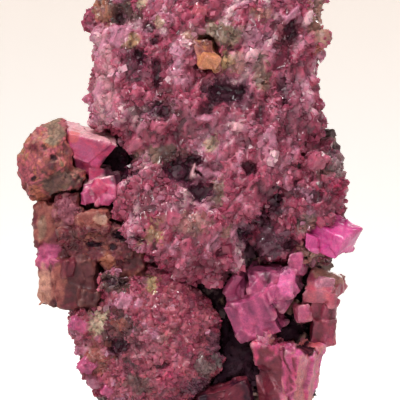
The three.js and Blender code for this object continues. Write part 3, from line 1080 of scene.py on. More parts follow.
def mesh_piece(name: str, layers: list[Facets]) -> bpy.types.Object:
    """Makes one object of several sets of faces.

    Args:
        name: The object's name.
        layers: The sets of faces, in millimetres.

    Returns:
        The object, with its colours and masks as attributes.
    """
    starts = np.cumsum([0] + [len(layer.points) for layer in layers[:-1]])
    quads = np.concatenate([layer.quads + start for layer, start in zip(layers, starts)])
    points = np.concatenate([layer.points for layer in layers]) * MM
    points[:, 2] = np.maximum(points[:, 2], 0)
    mesh = bpy.data.meshes.new(name)
    mesh.vertices.add(len(points))
    mesh.vertices.foreach_set("co", points.ravel())
    mesh.loops.add(quads.size)
    mesh.loops.foreach_set("vertex_index", quads.ravel().astype(np.int32))
    mesh.polygons.add(len(quads))
    mesh.polygons.foreach_set("loop_start", np.arange(0, quads.size, 4, dtype=np.int32))
    smooth = np.concatenate([np.full(len(layer.quads), layer.smooth) for layer in layers])
    mesh.polygons.foreach_set("use_smooth", smooth)
    mesh.update(calc_edges=True)
    tint = np.concatenate([layer.tint for layer in layers])
    rgba = np.clip(np.concatenate([tint, np.ones((len(tint), 1))], axis=1), 0, 1)
    mesh.attributes.new("tint", "FLOAT_COLOR", "POINT").data.foreach_set("color", rgba.ravel())
    for mask in ("depth", "gloss"):
        values = np.concatenate([getattr(layer, mask) for layer in layers])
        mesh.attributes.new(mask, "FLOAT", "POINT").data.foreach_set("value", values)
    piece = bpy.data.objects.new(name, mesh)
    bpy.context.collection.objects.link(piece)
    return piece


@dataclass
class DruseCrust(MineralPiece):
    """A crust of small crystals that covers a mass of dolomite."""

    voxel: float = 0.35
    rounding: int = 1
    relief: tuple[tuple[float, float], ...] = ((5.0, 0.8), (2.4, 0.75))
    flats: tuple[tuple[float, float], ...] = ((2.4, 0.4), (1.1, 0.3))
    grain: float = 1.35
    grain_height: float = 0.42
    crystal_size: float = 0.52
    crystal_spacing: float = 0.7
    companions: float = 0.3
    sunk: float = 0.3
    habits: tuple[tuple[Habit, float], ...] = (
        (Habit.RHOMB, 0.7), (Habit.BLADE, 0.15), (Habit.SPLINTER, 0.15),
    )

    def chosen(self, places: Array, normals: Array) -> Array:
        """Small crystals thin out towards the back."""
        return self.dice.random(len(places)) < 1 - 0.6 * smoothstep(-1.0, 4.0, places[:, 1])


@dataclass
class CrystalCluster(MineralPiece):
    """Large crystals with growth steps on their faces."""

    voxel: float = 0.16
    rounding: int = 3
    easing: int = 1
    relief: tuple[tuple[float, float], ...] = ((3.0, 0.3), (1.3, 0.08), (0.5, 0.03))
    flats: tuple[tuple[float, float], ...] = ((3.4, 0.42), (1.7, 0.12))
    run: tuple[float, float, float] = (0.35, 0.0, -0.94)
    run_length: float = 1.6
    edge_highlight: float = 0.4
    step_across: tuple[float, float, float] = (0.3, 0.2, 0.9)
    step_spacing: float = 1.1
    step_height: float = 0.09

    def shape(self, skin: Facets, normals: Array) -> None:
        """Adds growth steps that run across the faces."""
        rise = rising_steps(
            skin.points, self.step_across, self.step_spacing, 0.8, 2.6, self.seed + Draw.STEPS,
        )
        step = smoothstep(0.0, 1.0, 1.4 * rise) - 0.5
        patchy = smoothstep(-0.2, 0.5, noise(skin.points, 1.9, self.seed + Draw.PATCHES))
        skin.points = skin.points + normals * (self.step_height * step * patchy)[:, None]


@dataclass
class WeatheredLump(MineralPiece):
    """A rounded lump whose surface is eaten into small holes."""

    hole_spacing: float = 0.9
    hole_depth: float = 0.45

    def shape(self, skin: Facets, normals: Array) -> None:
        """Eats small holes into the skin and paints shade into them."""
        places = skin.points
        holes = smoothstep(0.3, 0.6, noise(places, self.hole_spacing, self.seed + Draw.STEPS))
        holes *= smoothstep(-0.1, 0.3, noise(places, 4 * self.hole_spacing, self.seed + Draw.STEPS + 1))
        skin.points = places - normals * (self.hole_depth * holes)[:, None]
        # Painted shade in the holes.
        skin.depth = np.maximum(skin.depth, 0.8 * holes)


@dataclass
class HostRock(MineralPiece):
    """The host rock, rough where it broke, with small crystals mostly on its front."""

    HACKLE_ACROSS = (0.35, 0.25, 0.9)
    HACKLE_SPACING = 1.6
    HACKLE_HEIGHT = 0.22
    HACKLE_DROP = 0.1
    FRONT = 1.5

    def shape(self, skin: Facets, normals: Array) -> None:
        """Adds hackly steps to the broken faces."""
        rise = rising_steps(
            skin.points, self.HACKLE_ACROSS, self.HACKLE_SPACING, 1.3, 4.0, self.seed + Draw.STEPS,
        )
        step = smoothstep(0.55, 1.0, rise)
        skin.points = skin.points + normals * (self.HACKLE_HEIGHT * step - self.HACKLE_DROP)[:, None]

    def chosen(self, places: Array, normals: Array) -> Array:
        """Small crystals sit on the front, and here and there on the back."""
        stray = noise(places, 4.0, self.seed + Draw.STRAYS) > 0.3
        return (places[:, 1] < self.FRONT) & (normals[:, 1] < 0.3) | stray & (places[:, 2] > 4)


@dataclass(frozen=True)
class Lamp:
    """A square lamp that points at the specimen: place and width in millimetres, power in watts."""

    name: str
    place: tuple[float, float, float]
    width: float
    power: float
    colour: tuple[float, float, float] = (1.0, 1.0, 1.0)

    AIM = (0, 0, 34)

    def hang(self) -> None:
        """Hangs the lamp."""
        data = bpy.data.lights.new(self.name, "AREA")
        data.size = self.width * MM
        data.energy = self.power
        data.color = self.colour
        lamp = bpy.data.objects.new(self.name, data)
        lamp.location = Vector(self.place) * MM
        aim = Vector(self.AIM) * MM - lamp.location
        lamp.rotation_euler = aim.to_track_quat("-Z", "Y").to_euler()
        bpy.context.collection.objects.link(lamp)


LAMPS = (
    Lamp("overhead", (-110, -180, 460), 100, 1.48, (1.0, 0.985, 0.96)),
    Lamp("behind", (260, 520, 380), 220, 0.9, (1.0, 0.985, 0.97)),
    Lamp("front_left", (-360, -420, 220), 120, 0.3, (1.0, 0.97, 0.94)),
    Lamp("glint_right", (140, -420, 330), 14, 0.4),
    Lamp("glint_middle", (-40, -480, 240), 14, 0.35),
    Lamp("glint_left", (-230, -330, 380), 14, 0.35),
)


@dataclass(frozen=True)
class Studio:
    """The pale floor that curves up behind the specimen, the soft lights and the camera."""

    distance: float = 500.0
    view_width: float = 56.0
    view_height: float = 33.04
    sensor: float = 36.0
    floor_half_width: float = 3000.0
    floor_front: float = -3000.0
    floor_back: float = 1500.0
    bend: float = 500.0
    wall_height: float = 2400.0
    warm_from: float = -30.0
    warm_to: float = 190.0
    lit_from: float = 20.0
    lit_to: float = 140.0

    def camera(self) -> None:
        """Sets up the camera, level with the middle of the picture."""
        data = bpy.data.cameras.new("camera")
        data.sensor_width = self.sensor
        data.lens = self.sensor * self.distance / self.view_width
        data.clip_start, data.clip_end = 0.01, 20.0
        camera = bpy.data.objects.new("camera", data)
        camera.location = (0, -self.distance * MM, self.view_height * MM)
        camera.rotation_euler = (math.pi / 2, 0, 0)
        bpy.context.collection.objects.link(camera)
        bpy.context.scene.camera = camera

    def floor(self) -> None:
        """Lays the floor and its curved rise."""
        arc = [i / 24 * math.pi / 2 for i in range(25)]
        profile = [(self.floor_front, 0.0)]
        profile += [(self.floor_back + self.bend * math.sin(a), self.bend * (1 - math.cos(a))) for a in arc]
        profile.append((self.floor_back + self.bend, self.wall_height))
        points = [
            (side * self.floor_half_width * MM, y * MM, z * MM) for y, z in profile for side in (-1, 1)
        ]
        faces = [(2 * i, 2 * i + 1, 2 * i + 3, 2 * i + 2) for i in range(len(profile) - 1)]
        mesh = bpy.data.meshes.new("floor")
        mesh.from_pydata(points, [], faces)
        mesh.shade_smooth()
        floor = bpy.data.objects.new("floor", mesh)
        bpy.context.collection.objects.link(floor)
        mesh.materials.append(self.paper())

    def paper(self) -> bpy.types.Material:
        """The pale paper of the floor, a little warmer up the wall."""
        material = bpy.data.materials.new("pale_paper")
        material.use_nodes = True
        desk = Desk(material.node_tree)
        place = desk.node("ShaderNodeSeparateXYZ", Vector=desk.node("ShaderNodeTexCoord").outputs["Object"])
        rise = desk.node("ShaderNodeMapRange", Value=place.outputs["Z"])
        rise.inputs["From Min"].default_value = self.warm_from * MM
        rise.inputs["From Max"].default_value = self.warm_to * MM
        colour = desk.blend(rise.outputs[0], (0.97, 0.97, 0.95, 1), (0.82, 0.69, 0.60, 1))
        back = desk.node("ShaderNodeMapRange", Value=place.outputs["Y"])
        back.inputs["From Min"].default_value = self.lit_from * MM
        back.inputs["From Max"].default_value = self.lit_to * MM
        glow = desk.blend(back.outputs[0], (0.05, 0.05, 0.05, 1), colour)
        shader = desk.node(
            "ShaderNodeBsdfPrincipled", Base_Color=(0.8, 0.8, 0.8, 1), Emission_Color=glow,
            Emission_Strength=0.8, Roughness=0.9,
        )
        desk.node("ShaderNodeOutputMaterial", Surface=shader.outputs[0])
        return material

    def build(self) -> None:
        """Sets up the whole studio."""
        self.camera()
        self.floor()
        for lamp in LAMPS:
            lamp.hang()
        world = bpy.data.worlds.new("room")
        world.use_nodes = True
        background = world.node_tree.nodes["Background"]
        background.inputs["Color"].default_value = (1.0, 0.985, 0.975, 1)
        background.inputs["Strength"].default_value = 0.12
        bpy.context.scene.world = world
        bpy.context.scene.view_settings.view_transform = "Standard"
        log.info("studio: camera, floor and lamps")


# The druse's joints, hollows and pits take painted shade in dark plum.
DRUSE = Finish(
    "druse", 0.08, 0.6, clarity=0.5, glow_depth=0.5, specular=0.36, mottle_size=0.8, mottle=0.5,
    painted_shade=Mineral.DARK_PLUM, painted_shade_amount=0.8,
)
ROCK = Finish(
    "rock", 0.6, 0.9, specular=0.15, mottle_size=1.4, mottle=0.5, grain_size=0.35, grain=0.6,
)


def upper_druse() -> DruseCrust:
    """The large crust that covers the upper front."""
    patches = (
        Patch(-6.4, 39.0, 6.5, 7.0, Mineral.DUSKY, 0.4), Patch(4.0, 44.0, 5.0, 4.0, Mineral.DUSKY, 0.25),
        Patch(-12.0, 59.4, 3.0, 1.8, Mineral.MOSS), Patch(-9.5, 55.2, 1.3, 1.2, Mineral.STRAW, 0.7),
        Patch(-5.6, 57.5, 0.9, 0.9, Mineral.TAN), Patch(-8.3, 60.3, 0.9, 0.8, Mineral.CREAM),
        Patch(-13.6, 58.9, 1.1, 1.7, Mineral.ORANGE, 0.5), Patch(2.6, 56.0, 3.6, 1.8, Mineral.OLIVE, 0.9),
        Patch(3.3, 52.4, 1.5, 1.2, Mineral.STRAW, 0.8), Patch(5.4, 52.4, 1.6, 1.4, Mineral.TAN, 0.5),
        Patch(7.6, 54.4, 1.8, 2.4, Mineral.LILAC, 0.7), Patch(8.6, 50.1, 1.3, 2.6, Mineral.OLIVE, 0.7),
        Patch(3.9, 47.8, 3.6, 1.7, Mineral.TAUPE, 0.8), Patch(8.8, 58.6, 1.2, 1.0, Mineral.PEACH, 0.6),
        Patch(-1.2, 55.9, 1.5, 0.9, Mineral.PEACH, 0.8), Patch(16.6, 58.8, 1.2, 3.2, Mineral.TAN, 0.7),
        Patch(16.4, 54.0, 0.8, 0.8, Mineral.ORANGE, 0.8), Patch(1.6, 40.9, 0.9, 1.0, Mineral.CREAM, 0.8),
        Patch(-5.5, 39.3, 3.2, 1.2, Mineral.OLIVE, 0.8), Patch(2.3, 34.4, 1.0, 2.3, Mineral.OLIVE, 0.8),
        Patch(-6.6, 28.4, 1.4, 1.7, Mineral.STRAW, 0.6), Patch(3.7, 28.9, 1.2, 1.0, Mineral.TAN, 0.6),
        Patch(-1.0, 30.0, 3.0, 1.2, Mineral.TAN, 0.4), Patch(13.0, 46.0, 2.2, 4.0, Mineral.TAUPE, 0.4),
        # Painted shade: the plum, umber and dark purple spots set over pits from here down stand for shade in
        # those pits, in the pocket recess on the left and in the groove on the right.
        Patch(11.6, 56.6, 2.0, 2.8, Mineral.UMBER, 0.6),
        Patch(-13.2, 50.0, 1.6, 6.5, Mineral.PALE_PINK, 0.5),
        Patch(-9.2, 51.8, 2.2, 2.6, Mineral.PLUM, 0.6), Patch(-5.4, 45.4, 2.8, 2.2, Mineral.UMBER, 0.7),
        Patch(-1.5, 36.6, 3.4, 3.0, Mineral.PLUM, 0.7), Patch(-3.4, 39.4, 2.2, 1.2, Mineral.UMBER, 0.7),
        Patch(-0.4, 34.2, 2.2, 1.0, Mineral.PLUM, 0.8), Patch(-11.2, 37.4, 1.7, 3.0, Mineral.SHADOW_PURPLE),
        Patch(7.6, 27.4, 3.0, 2.4, Mineral.TAUPE, 0.8), Patch(-9.0, 32.6, 2.4, 1.6, Mineral.UMBER, 0.5),
        Patch(1.0, 24.0, 3.4, 1.2, Mineral.DUSKY, 0.6), Patch(10.4, 33.0, 1.0, 1.8, Mineral.SHADOW_PURPLE),
        Patch(8.6, 30.4, 1.3, 1.4, Mineral.SHADOW_PURPLE), Patch(6.4, 28.2, 1.3, 1.0, Mineral.PLUM),
    )
    return DruseCrust(
        "upper_druse", "upper_druse_crust", finish=DRUSE, seed=11, voxel=0.38, run_length=1.8, lie=0.8,
        crystal_spacing=0.73,
        palette=Palette(
            ((Mineral.DUSKY, 0.2), (Mineral.RASPBERRY, 0.24), (Mineral.ROSE, 0.32), (Mineral.LILAC, 0.16),
             (Mineral.PALE_PINK, 0.08)),
            patches=patches, along=(0.3, 0.0, 0.95), stretch=1.6, seed=21,
        ),
        pits=(
            Pit(-2.2, 37.4, 3.0, 1.8, 1.8), Pit(0.2, 34.6, 2.2, 1.1, 1.5), Pit(6.8, 37.6, 1.0, 1.4, 1.6),
            Pit(3.9, 48.0, 3.2, 1.2, 1.5), Pit(-6.2, 44.9, 2.0, 1.2, 1.3), Pit(-8.1, 52.6, 0.9, 1.4, 1.2),
            Pit(-11.1, 58.6, 1.0, 0.7, 1.0), Pit(-7.4, 57.1, 0.7, 1.0, 1.2), Pit(-6.3, 55.1, 0.7, 0.8, 1.1),
            Pit(-5.9, 50.2, 0.6, 2.4, 1.2), Pit(-3.4, 51.8, 0.6, 0.9, 1.0), Pit(12.5, 56.8, 1.0, 1.7, 1.4),
            Pit(-8.4, 28.0, 0.8, 0.6, 1.0), Pit(-6.0, 26.7, 0.5, 0.5, 0.9), Pit(11.6, 48.4, 0.8, 1.8, 0.9),
            Pit(-11.4, 37.4, 1.6, 2.8, 2.6), Pit(10.5, 33.3, 0.9, 1.5, 2.2), Pit(9.3, 31.2, 1.0, 1.3, 2.2),
            Pit(7.9, 29.8, 1.3, 1.0, 2.0), Pit(6.2, 28.2, 1.2, 0.9, 1.6), Pit(1.0, 45.6, 1.0, 1.6, 0.9),
            Pit(8.4, 44.8, 0.7, 1.6, 0.9),
        ),
        standouts=(
            Standout(-11.2, 56.0, 1.9, 2.9, 0.3, 0.3, Mineral.LILAC),
            Standout(-13.6, 54.6, 1.0, 4.2, 0.1, 0.1, Mineral.LILAC),
            Standout(-14.0, 51.2, 1.5, 2.5, -0.2, 0.3, Mineral.ROSE),
            Standout(-14.1, 48.3, 1.5, 2.2, 0.2, 0.2, Mineral.LILAC),
            Standout(-2.9, 52.7, 1.2, 2.9, -0.2, 0.2, Mineral.LILAC),
            Standout(0.1, 59.3, 1.9, 1.5, 0.4, 0.3, Mineral.RED_ROSE),
            Standout(-0.9, 57.4, 1.8, 1.1, 0.2, 0.4, Mineral.ROSE),
            Standout(12.9, 58.8, 2.7, 1.1, -0.5, 0.4, Mineral.LILAC),
            Standout(7.2, 53.2, 1.5, 1.6, 0.5, 0.5, Mineral.PALE_PINK),
            Standout(5.0, 43.1, 1.3, 1.3, 0.1, 0.1, Mineral.PALE_PINK, 0.3),
            Standout(-0.8, 37.2, 0.9, 2.1, 0.1, 0.2, Mineral.PALE_PINK, 0.0),
            Standout(0.9, 36.9, 2.2, 0.9, 0.5, 0.5, Mineral.LILAC, 0.0),
            Standout(9.8, 41.6, 1.1, 2.2, -0.5, 0.2, Mineral.LILAC),
            Standout(-5.8, 43.0, 1.7, 1.6, 0.3, 0.4, Mineral.ROSE, 0.3),
            Standout(0.6, 44.2, 1.2, 1.2, 0.6, 0.4, Mineral.LILAC, 0.3),
            Standout(-9.6, 40.6, 1.6, 2.8, 0.5, 0.3, Mineral.ROSE),
            Standout(-3.6, 30.4, 1.6, 1.5, 0.4, 0.3, Mineral.ROSE),
        ),
    )


def right_flank() -> DruseCrust:
    """The crust that bulges on the right, below a groove."""
    return DruseCrust(
        "flank_druse", "right_druse_flank", finish=DRUSE, seed=12, voxel=0.32,
        palette=Palette(
            ((Mineral.DUSKY, 0.26), (Mineral.RASPBERRY, 0.24), (Mineral.ROSE, 0.28), (Mineral.TAUPE, 0.14),
             (Mineral.LILAC, 0.08)), seed=31,
            patches=(
                Patch(19.0, 37.6, 1.6, 1.8, Mineral.GREY, 0.7),
                Patch(17.0, 37.0, 1.2, 1.5, Mineral.MOSS, 0.6),
                Patch(15.0, 25.6, 2.2, 1.8, Mineral.TAN, 0.7),
                Patch(9.4, 27.2, 3.0, 2.4, Mineral.TAUPE, 0.85),
                # Painted shade: the dark purple spot at the end of this line is shade in the groove under the
                # upper crust.
                Patch(14.8, 29.6, 1.6, 1.2, Mineral.OLIVE, 0.6), Patch(10.2, 32.6, 1.2, 2.2, Mineral.SHADOW_PURPLE),
            ),
        ),
        pits=(
            Pit(12.6, 26.8, 1.0, 1.1, 1.8), Pit(16.0, 33.4, 0.8, 0.7, 0.8), Pit(10.4, 33.0, 0.9, 1.6, 1.2),
            Pit(8.8, 30.4, 1.0, 1.0, 1.2),
        ),
        standouts=(
            Standout(18.7, 35.4, 1.9, 1.1, 0.1, 0.2, Mineral.HOT_PINK),
            Standout(16.6, 38.6, 2.0, 1.9, 0.4, 0.4, Mineral.ROSE),
        ),
    )


def nodule() -> DruseCrust:
    """The round nodule below on the left."""
    return DruseCrust(
        "nodule_druse", "lower_druse_nodule", finish=DRUSE, seed=13, voxel=0.3, crystal_size=0.42,
        crystal_spacing=0.5, relief=((3.0, 0.35), (1.6, 0.3)), flats=((1.6, 0.35), (0.8, 0.2)), grain=1.0,
        grain_height=0.2,
        palette=Palette(
            ((Mineral.DUSKY, 0.14), (Mineral.RASPBERRY, 0.3),
             (Mineral.RED_ROSE, 0.34), (Mineral.ROSE, 0.16),
             (Mineral.LILAC, 0.06)), seed=41,
            patches=(
                Patch(-4.1, 22.9, 1.1, 0.9, Mineral.HOT_PINK, 0.6),
                Patch(-6.6, 21.3, 0.8, 1.3, Mineral.STRAW, 0.8),
                Patch(-11.7, 21.6, 2.4, 1.4, Mineral.MOSS),
                Patch(-11.6, 14.7, 2.8, 3.4, Mineral.UMBER, 0.9),
                Patch(-14.0, 16.1, 1.1, 2.0, Mineral.CREAM, 0.8),
                Patch(-14.4, 11.6, 1.8, 2.4, Mineral.CLAY, 0.9),
                Patch(-10.9, 15.9, 1.0, 0.9, Mineral.CLAY, 0.7),
                Patch(-7.6, 13.1, 1.9, 1.7, Mineral.MAUVE, 0.6),
                Patch(-4.4, 8.7, 1.8, 1.4, Mineral.HOT_PINK, 0.4),
                Patch(2.3, 12.5, 1.3, 2.2, Mineral.TAUPE),
                Patch(0.9, 10.0, 1.4, 1.6, Mineral.GREY, 0.8), Patch(0.0, 7.4, 1.6, 1.3, Mineral.TAUPE),
                Patch(0.0, 20.0, 1.1, 1.1, Mineral.WINE, 0.7),
                Patch(-8.5, 8.0, 2.2, 1.5, Mineral.MOSS, 0.7),
                Patch(-4.6, 14.6, 1.4, 1.2, Mineral.TAN, 0.3),
            ),
        ),
        calm_areas=(Area(-14.4, 11.6, 1.6, 2.4),),
        pits=(
            Pit(-5.6, 10.5, 1.4, 0.6, 0.8), Pit(-11.0, 12.8, 1.6, 1.0, 1.1), Pit(-11.7, 21.8, 1.6, 0.8, 1.0),
        ),
        standouts=(
            Standout(-10.5, 19.3, 1.5, 1.7, 0.3, 0.2, Mineral.LILAC),
            Standout(-8.5, 18.9, 0.8, 1.2, 0.5, 0.2, Mineral.LILAC),
            Standout(-16.9, 16.0, 2.2, 1.5, 0.4, 0.3, Mineral.FUCHSIA, 0.3),
            Standout(-16.5, 12.3, 1.5, 1.2, 0.2, 0.3, Mineral.LILAC, 0.3),
            Standout(-15.7, 10.2, 2.0, 1.8, 0.6, 0.3, Mineral.FUCHSIA, 0.3),
            Standout(-14.6, 7.9, 1.9, 1.5, 0.4, 0.3, Mineral.LILAC, 0.3),
            Standout(-12.9, 6.8, 1.5, 1.3, 0.5, 0.3, Mineral.FUCHSIA, 0.3),
        ),
    )


def side_rock() -> list[MineralPiece]:
    """The host rock, and the worn and brown dolomite on the left."""
    # The worn lump's holes take painted shade in a dark grey plum; the brown crystals keep the dark purple
    # default.
    worn = Finish("worn_dolomite", 0.4, 0.8, 0.1, specular=0.22, mottle=0.6, grain=0.5, painted_shade=Mineral.DEEP_SHADOW)
    brown = Finish("brown_crystal", 0.3, 0.65, 0.1, specular=0.25, lines=0.7, line_spacing=0.7, mottle=0.6)
    return [
        HostRock(
            "host_rock", "matrix", ROCK, slot="host_rock", seed=14, voxel=0.42, rounding=1,
            relief=((5.0, 0.3), (2.0, 0.25), (0.8, 0.14)), flats=((7.0, 0.9), (2.8, 0.55), (1.2, 0.25)),
            grain=1.0, grain_height=0.08, crystal_size=0.5, crystal_spacing=0.85,
            palette=Palette(
                ((Mineral.UMBER, 0.16), (Mineral.TAUPE, 0.26), (Mineral.GREY, 0.34), (Mineral.TAN, 0.16),
                 (Mineral.MAUVE, 0.08)), cloud=3.2, mixing=0.22, spread=0.14, seed=51,
                patches=(
                    # Painted shade: these three dark purple spots lie where the host rock shows in crevices,
                    # behind the lower crystals, in the pocket recess and below the upper crust.
                    Patch(6.0, 12.0, 13.0, 12.5, Mineral.SHADOW_PURPLE, 0.97),
                    Patch(-12.0, 37.6, 4.0, 6.0, Mineral.SHADOW_PURPLE, 0.95),
                    Patch(0.0, 23.0, 8.0, 2.4, Mineral.SHADOW_PURPLE, 0.95),
                    Patch(8.5, 27.0, 4.6, 2.2, Mineral.TAUPE, 0.8),
                    Patch(17.0, 39.6, 2.6, 4.6, Mineral.GREY, 0.9),
                    Patch(16.4, 42.6, 1.4, 1.4, Mineral.PALE_PINK, 0.5),
                ),
            ),
        ),
        WeatheredLump(
            "worn_lump", "weathered_lump", worn, slot="weathered_dolomite", seed=15, voxel=0.24,
            relief=((2.6, 0.55), (1.0, 0.2)), flats=((1.8, 0.25),), grain=0.7, grain_height=0.07,
            palette=Palette(
                ((Mineral.MAROON, 0.24), (Mineral.CLAY, 0.3), (Mineral.RED_ROSE, 0.18),
                 (Mineral.ORANGE, 0.12), (Mineral.OLIVE, 0.16)), cloud=2.6, mixing=0.08, seed=61,
                # Painted light: faces turned up to the lamps are made lighter tan.
                facings=(Facing((0.1, -0.3, 1.0), Mineral.TAN, 0.4, 0.6),),
                patches=(
                    Patch(-19.7, 42.4, 1.4, 1.8, Mineral.OLIVE, 0.8),
                    Patch(-18.2, 43.4, 1.0, 1.0, Mineral.RED_ROSE),
                    Patch(-19.3, 35.4, 2.6, 2.0, Mineral.MOSS, 0.8),
                    Patch(-24.4, 36.8, 1.4, 2.2, Mineral.RED_ROSE, 0.7),
                    Patch(-22.6, 33.6, 1.0, 1.4, Mineral.ORANGE, 0.7),
                ),
            ),
            pits=(Pit(-20.2, 38.9, 0.45, 0.35, 0.6), Pit(-23.0, 36.0, 0.3, 0.3, 0.5)),
        ),
        CrystalCluster(
            "brown_blocks", "left_brown_crystals", brown, slot="brown_dolomite", seed=16, voxel=0.2, easing=1,
            relief=((2.4, 0.3), (0.9, 0.2), (0.45, 0.08)), flats=((2.6, 0.35), (1.1, 0.22)), run_length=1.0,
            step_height=0.15, step_spacing=1.3, edge_highlight=0.15, edge_highlight_colour=Mineral.PEACH,
            crystal_size=0.36, crystal_spacing=0.5, sunk=0.3, tumble=1.6,
            grit_areas=(
                Area(-14.5, 27.8, 5.0, 2.4), Area(-18.4, 31.8, 2.0, 2.4), Area(-12.0, 25.0, 2.6, 1.6),
            ),
            calm_areas=(Area(-16.8, 21.8, 3.6, 3.2),),
            standouts=(
                Standout(-15.4, 19.6, 2.6, 2.2, 0.1, 0.1, Mineral.UMBER, 0.3),
                Standout(-18.2, 23.6, 1.6, 2.4, -0.1, 0.2, Mineral.MAROON, 0.3),
            ),
            palette=Palette(
                ((Mineral.UMBER, 0.3), (Mineral.MAROON, 0.3), (Mineral.BROWN, 0.26), (Mineral.CLAY, 0.14)),
                cloud=2.0, seed=71,
                patches=(
                    Patch(-21.6, 30.2, 1.6, 3.6, Mineral.CLAY, 0.8),
                    Patch(-21.9, 29.4, 0.7, 1.6, Mineral.OLIVE, 0.6),
                    Patch(-21.3, 25.2, 1.7, 1.8, Mineral.FUCHSIA, 0.8),
                    Patch(-21.6, 20.8, 1.3, 2.6, Mineral.PEACH, 0.7),
                    Patch(-16.2, 21.8, 3.0, 3.4, Mineral.UMBER, 0.7),
                    Patch(-19.6, 21.4, 1.1, 2.6, Mineral.CLAY, 0.7),
                    Patch(-14.9, 30.3, 2.4, 1.3, Mineral.CLAY, 0.7),
                    Patch(-13.6, 30.6, 0.9, 0.8, Mineral.TAN, 0.6),
                    Patch(-18.6, 31.8, 1.8, 2.0, Mineral.MAUVE, 0.8),
                    # Painted shade: this near-black spot sits in the pit at the same place.
                    Patch(-10.6, 28.2, 1.0, 0.8, Mineral.DEEP_SHADOW, 0.9),
                    Patch(-12.6, 24.6, 1.2, 1.2, Mineral.ORANGE, 0.5),
                ),
            ),
            pits=(
                Pit(-10.9, 28.4, 0.9, 0.7, 1.0), Pit(-14.4, 27.0, 1.2, 0.4, 0.7),
                Pit(-12.0, 26.6, 0.5, 0.4, 0.6),
            ),
        ),
    ]


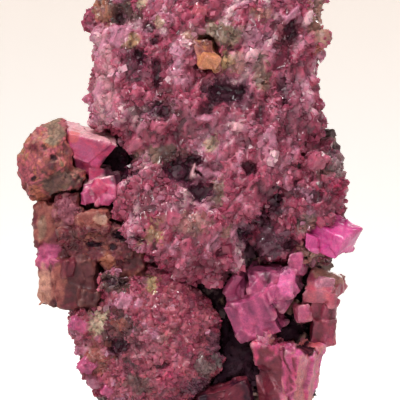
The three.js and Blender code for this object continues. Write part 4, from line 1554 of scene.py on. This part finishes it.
def large_crystals() -> list[CrystalCluster]:
    """The large crystals of the front."""
    purple = Finish("purple_crystal", 0.25, 0.5, 0.4, 1.6, 0.05, specular=0.3, lines=0.8, mottle=0.6)
    magenta = Finish("magenta_crystal", 0.16, 0.4, 0.4, 1.6, 0.15, specular=0.4, lines=0.5, mottle=0.45)
    rose = Finish("rose_crystal", 0.22, 0.5, 0.35, 1.4, 0.05, specular=0.32, lines=0.8, mottle=0.6)
    dark = Finish("dark_crystal", 0.3, 0.5, 0.1, specular=0.2, lines=0.6, mottle=0.5)
    amber = Finish("amber_crystal", 0.2, 0.45, 0.4, 1.2, 0.1, specular=0.35, lines=0.6, mottle=0.7)
    return [
        CrystalCluster(
            "pocket_crystals", "left_pocket_crystals", magenta, slot="magenta_dolomite", seed=17,
            flats=((4.5, 0.4),),
            standouts=(
                Standout(-14.0, 34.8, 1.7, 1.4, 0.7, 0.4, Mineral.HOT_PINK, 0.1),
                Standout(-15.8, 33.4, 1.2, 1.9, -0.4, 0.3, Mineral.FUCHSIA, 0.1),
                Standout(-12.9, 33.0, 1.3, 1.2, 0.2, 0.5, Mineral.FUCHSIA, 0.1),
            ),
            palette=Palette(
                ((Mineral.VIOLET, 0.25), (Mineral.HOT_PINK, 0.45), (Mineral.FUCHSIA, 0.3)), seed=81,
                # Painted light: faces turned up to the lamps are made pale pink.
                facings=(Facing((0.1, -0.3, 1.0), Mineral.PALE_PINK, 0.9, 0.55),),
                patches=(
                    # Painted shade: the plum spot darkens the part of the pocket crystal that lies in shadow
                    # by the recess.
                    Patch(-11.8, 37.6, 1.7, 2.2, Mineral.PLUM, 0.9),
                    Patch(-17.6, 41.8, 1.0, 1.0, Mineral.CORAL, 0.8),
                    Patch(-15.4, 38.4, 1.4, 0.7, Mineral.ORCHID, 0.5),
                ),
            ),
        ),
        CrystalCluster(
            "central_crystals", "central_crystal_cluster", purple, slot="purple_dolomite", seed=18,
            crystal_size=0.34, crystal_spacing=0.55, tumble=1.4,
            grit_areas=(Area(4.0, 22.6, 1.0, 1.0), Area(9.6, 18.4, 0.9, 0.8), Area(11.6, 23.6, 1.2, 0.7)),
            standouts=(
                Standout(4.6, 21.4, 1.3, 3.2, 0.35, 0.2, Mineral.PURPLE, 0.2),
                Standout(9.8, 20.2, 1.3, 2.2, -0.4, 0.2, Mineral.FUCHSIA, 0.3),
            ),
            palette=Palette(
                ((Mineral.PLUM, 0.08), (Mineral.VIOLET, 0.3),
                 (Mineral.PURPLE, 0.3), (Mineral.FUCHSIA, 0.32)),
                cloud=1.7, along=(0.35, 0.0, -0.94), stretch=4.0, seed=91,
                patches=(
                    Patch(12.1, 21.6, 1.3, 1.6, Mineral.ORCHID, 0.9),
                    Patch(13.6, 24.6, 0.8, 1.8, Mineral.FUCHSIA),
                ),
            ),
        ),
        CrystalCluster(
            "point_crystal", "right_point_crystal", magenta, slot="magenta_dolomite", seed=19,
            flats=((5.0, 0.3),),
            palette=Palette(((Mineral.MAGENTA, 0.4), (Mineral.ORCHID, 0.6)), cloud=4.0, seed=101),
        ),
        CrystalCluster(
            "tabular_crystals", "right_tabular_crystals", rose, slot="rose_dolomite", seed=20,
            standouts=(
                Standout(17.4, 21.6, 2.4, 1.4, 0.2, 0.3, Mineral.LILAC, 0.3),
            ),
            palette=Palette(
                ((Mineral.MAROON, 0.3), (Mineral.RASPBERRY, 0.3),
                 (Mineral.RED_ROSE, 0.2), (Mineral.MAUVE, 0.2)),
                along=(0.2, 0.0, 1.0), stretch=2.0, seed=111,
                patches=(
                    Patch(18.3, 22.9, 2.8, 1.5, Mineral.TAN, 0.8),
                    Patch(16.6, 11.6, 1.4, 1.6, Mineral.FUCHSIA, 0.7),
                    Patch(13.9, 17.2, 1.0, 1.4, Mineral.FUCHSIA, 0.6),
                ),
            ),
        ),
        CrystalCluster(
            "sparkling_crystals", "lower_right_crystals", rose, slot="rose_dolomite", seed=22,
            crystal_size=0.3, crystal_spacing=0.45, tumble=1.6, grit_areas=(Area(11.4, 13.6, 3.4, 1.3),),
            palette=Palette(
                ((Mineral.HOT_PINK, 0.46), (Mineral.FUCHSIA, 0.4), (Mineral.ORCHID, 0.14)), seed=121,
                along=(-0.1, 0.0, 1.0), stretch=2.4,
                facings=(
                    Facing((0.8, -0.6, 0.1), Mineral.PEACH, 0.5, 0.7),
                    # Faces turned left are dark maroon: partly their own dark red-brown, partly painted shade
                    # on the side away from the lamps.
                    Facing((-0.9, -0.5, 0.0), Mineral.MAROON, 0.95, 0.55),
                ),
                patches=(
                    Patch(14.6, 13.0, 1.7, 1.4, Mineral.CORAL, 0.9),
                    # The maroon spot on the left block is partly its own dark red-brown, partly painted
                    # shade.
                    Patch(8.8, 7.6, 2.2, 5.6, Mineral.MAROON, 0.95),
                    Patch(8.8, 14.0, 0.9, 1.2, Mineral.LILAC, 0.6),
                ),
            ),
            pits=(Pit(14.6, 12.6, 1.3, 1.0, 0.7),),
        ),
        CrystalCluster(
            "bottom_blocks", "bottom_crystals", dark, slot="rose_dolomite", seed=23, edge_highlight=0.2,
            edge_highlight_colour=Mineral.RED_ROSE,
            # The near-black half of this palette is painted shade: these blocks lie in shadow under the
            # crystals above.
            palette=Palette(((Mineral.SHADOW_PURPLE, 0.5), (Mineral.MAROON, 0.5)), seed=131),
        ),
        CrystalCluster(
            "amber_block", "amber_crystal", amber, slot="amber_dolomite", seed=24, rounding=6,
            crystal_size=0.34, crystal_spacing=0.45, tumble=1.4,
            grit_areas=(Area(-0.2, 54.8, 1.2, 0.6), Area(1.9, 51.0, 0.6, 0.5)),
            standouts=(Standout(1.2, 52.0, 2.3, 2.0, 0.3, 0.2, Mineral.AMBER, 0.35),),
            palette=Palette(
                ((Mineral.BROWN, 0.25), (Mineral.CLAY, 0.4), (Mineral.AMBER, 0.35)), cloud=1.3, seed=141,
            ),
        ),
    ]


def pieces() -> list[MineralPiece]:
    """All the pieces of the specimen, the crusts first."""
    return [upper_druse(), right_flank(), nodule(), *side_rock(), *large_crystals()]


def main() -> None:
    """Builds the studio and every piece in order."""
    logging.basicConfig(level=logging.INFO, format="%(message)s")
    Studio().build()
    effects = Effects()
    for piece in pieces():
        piece.build(effects)


if __name__ == "__main__":
    main()
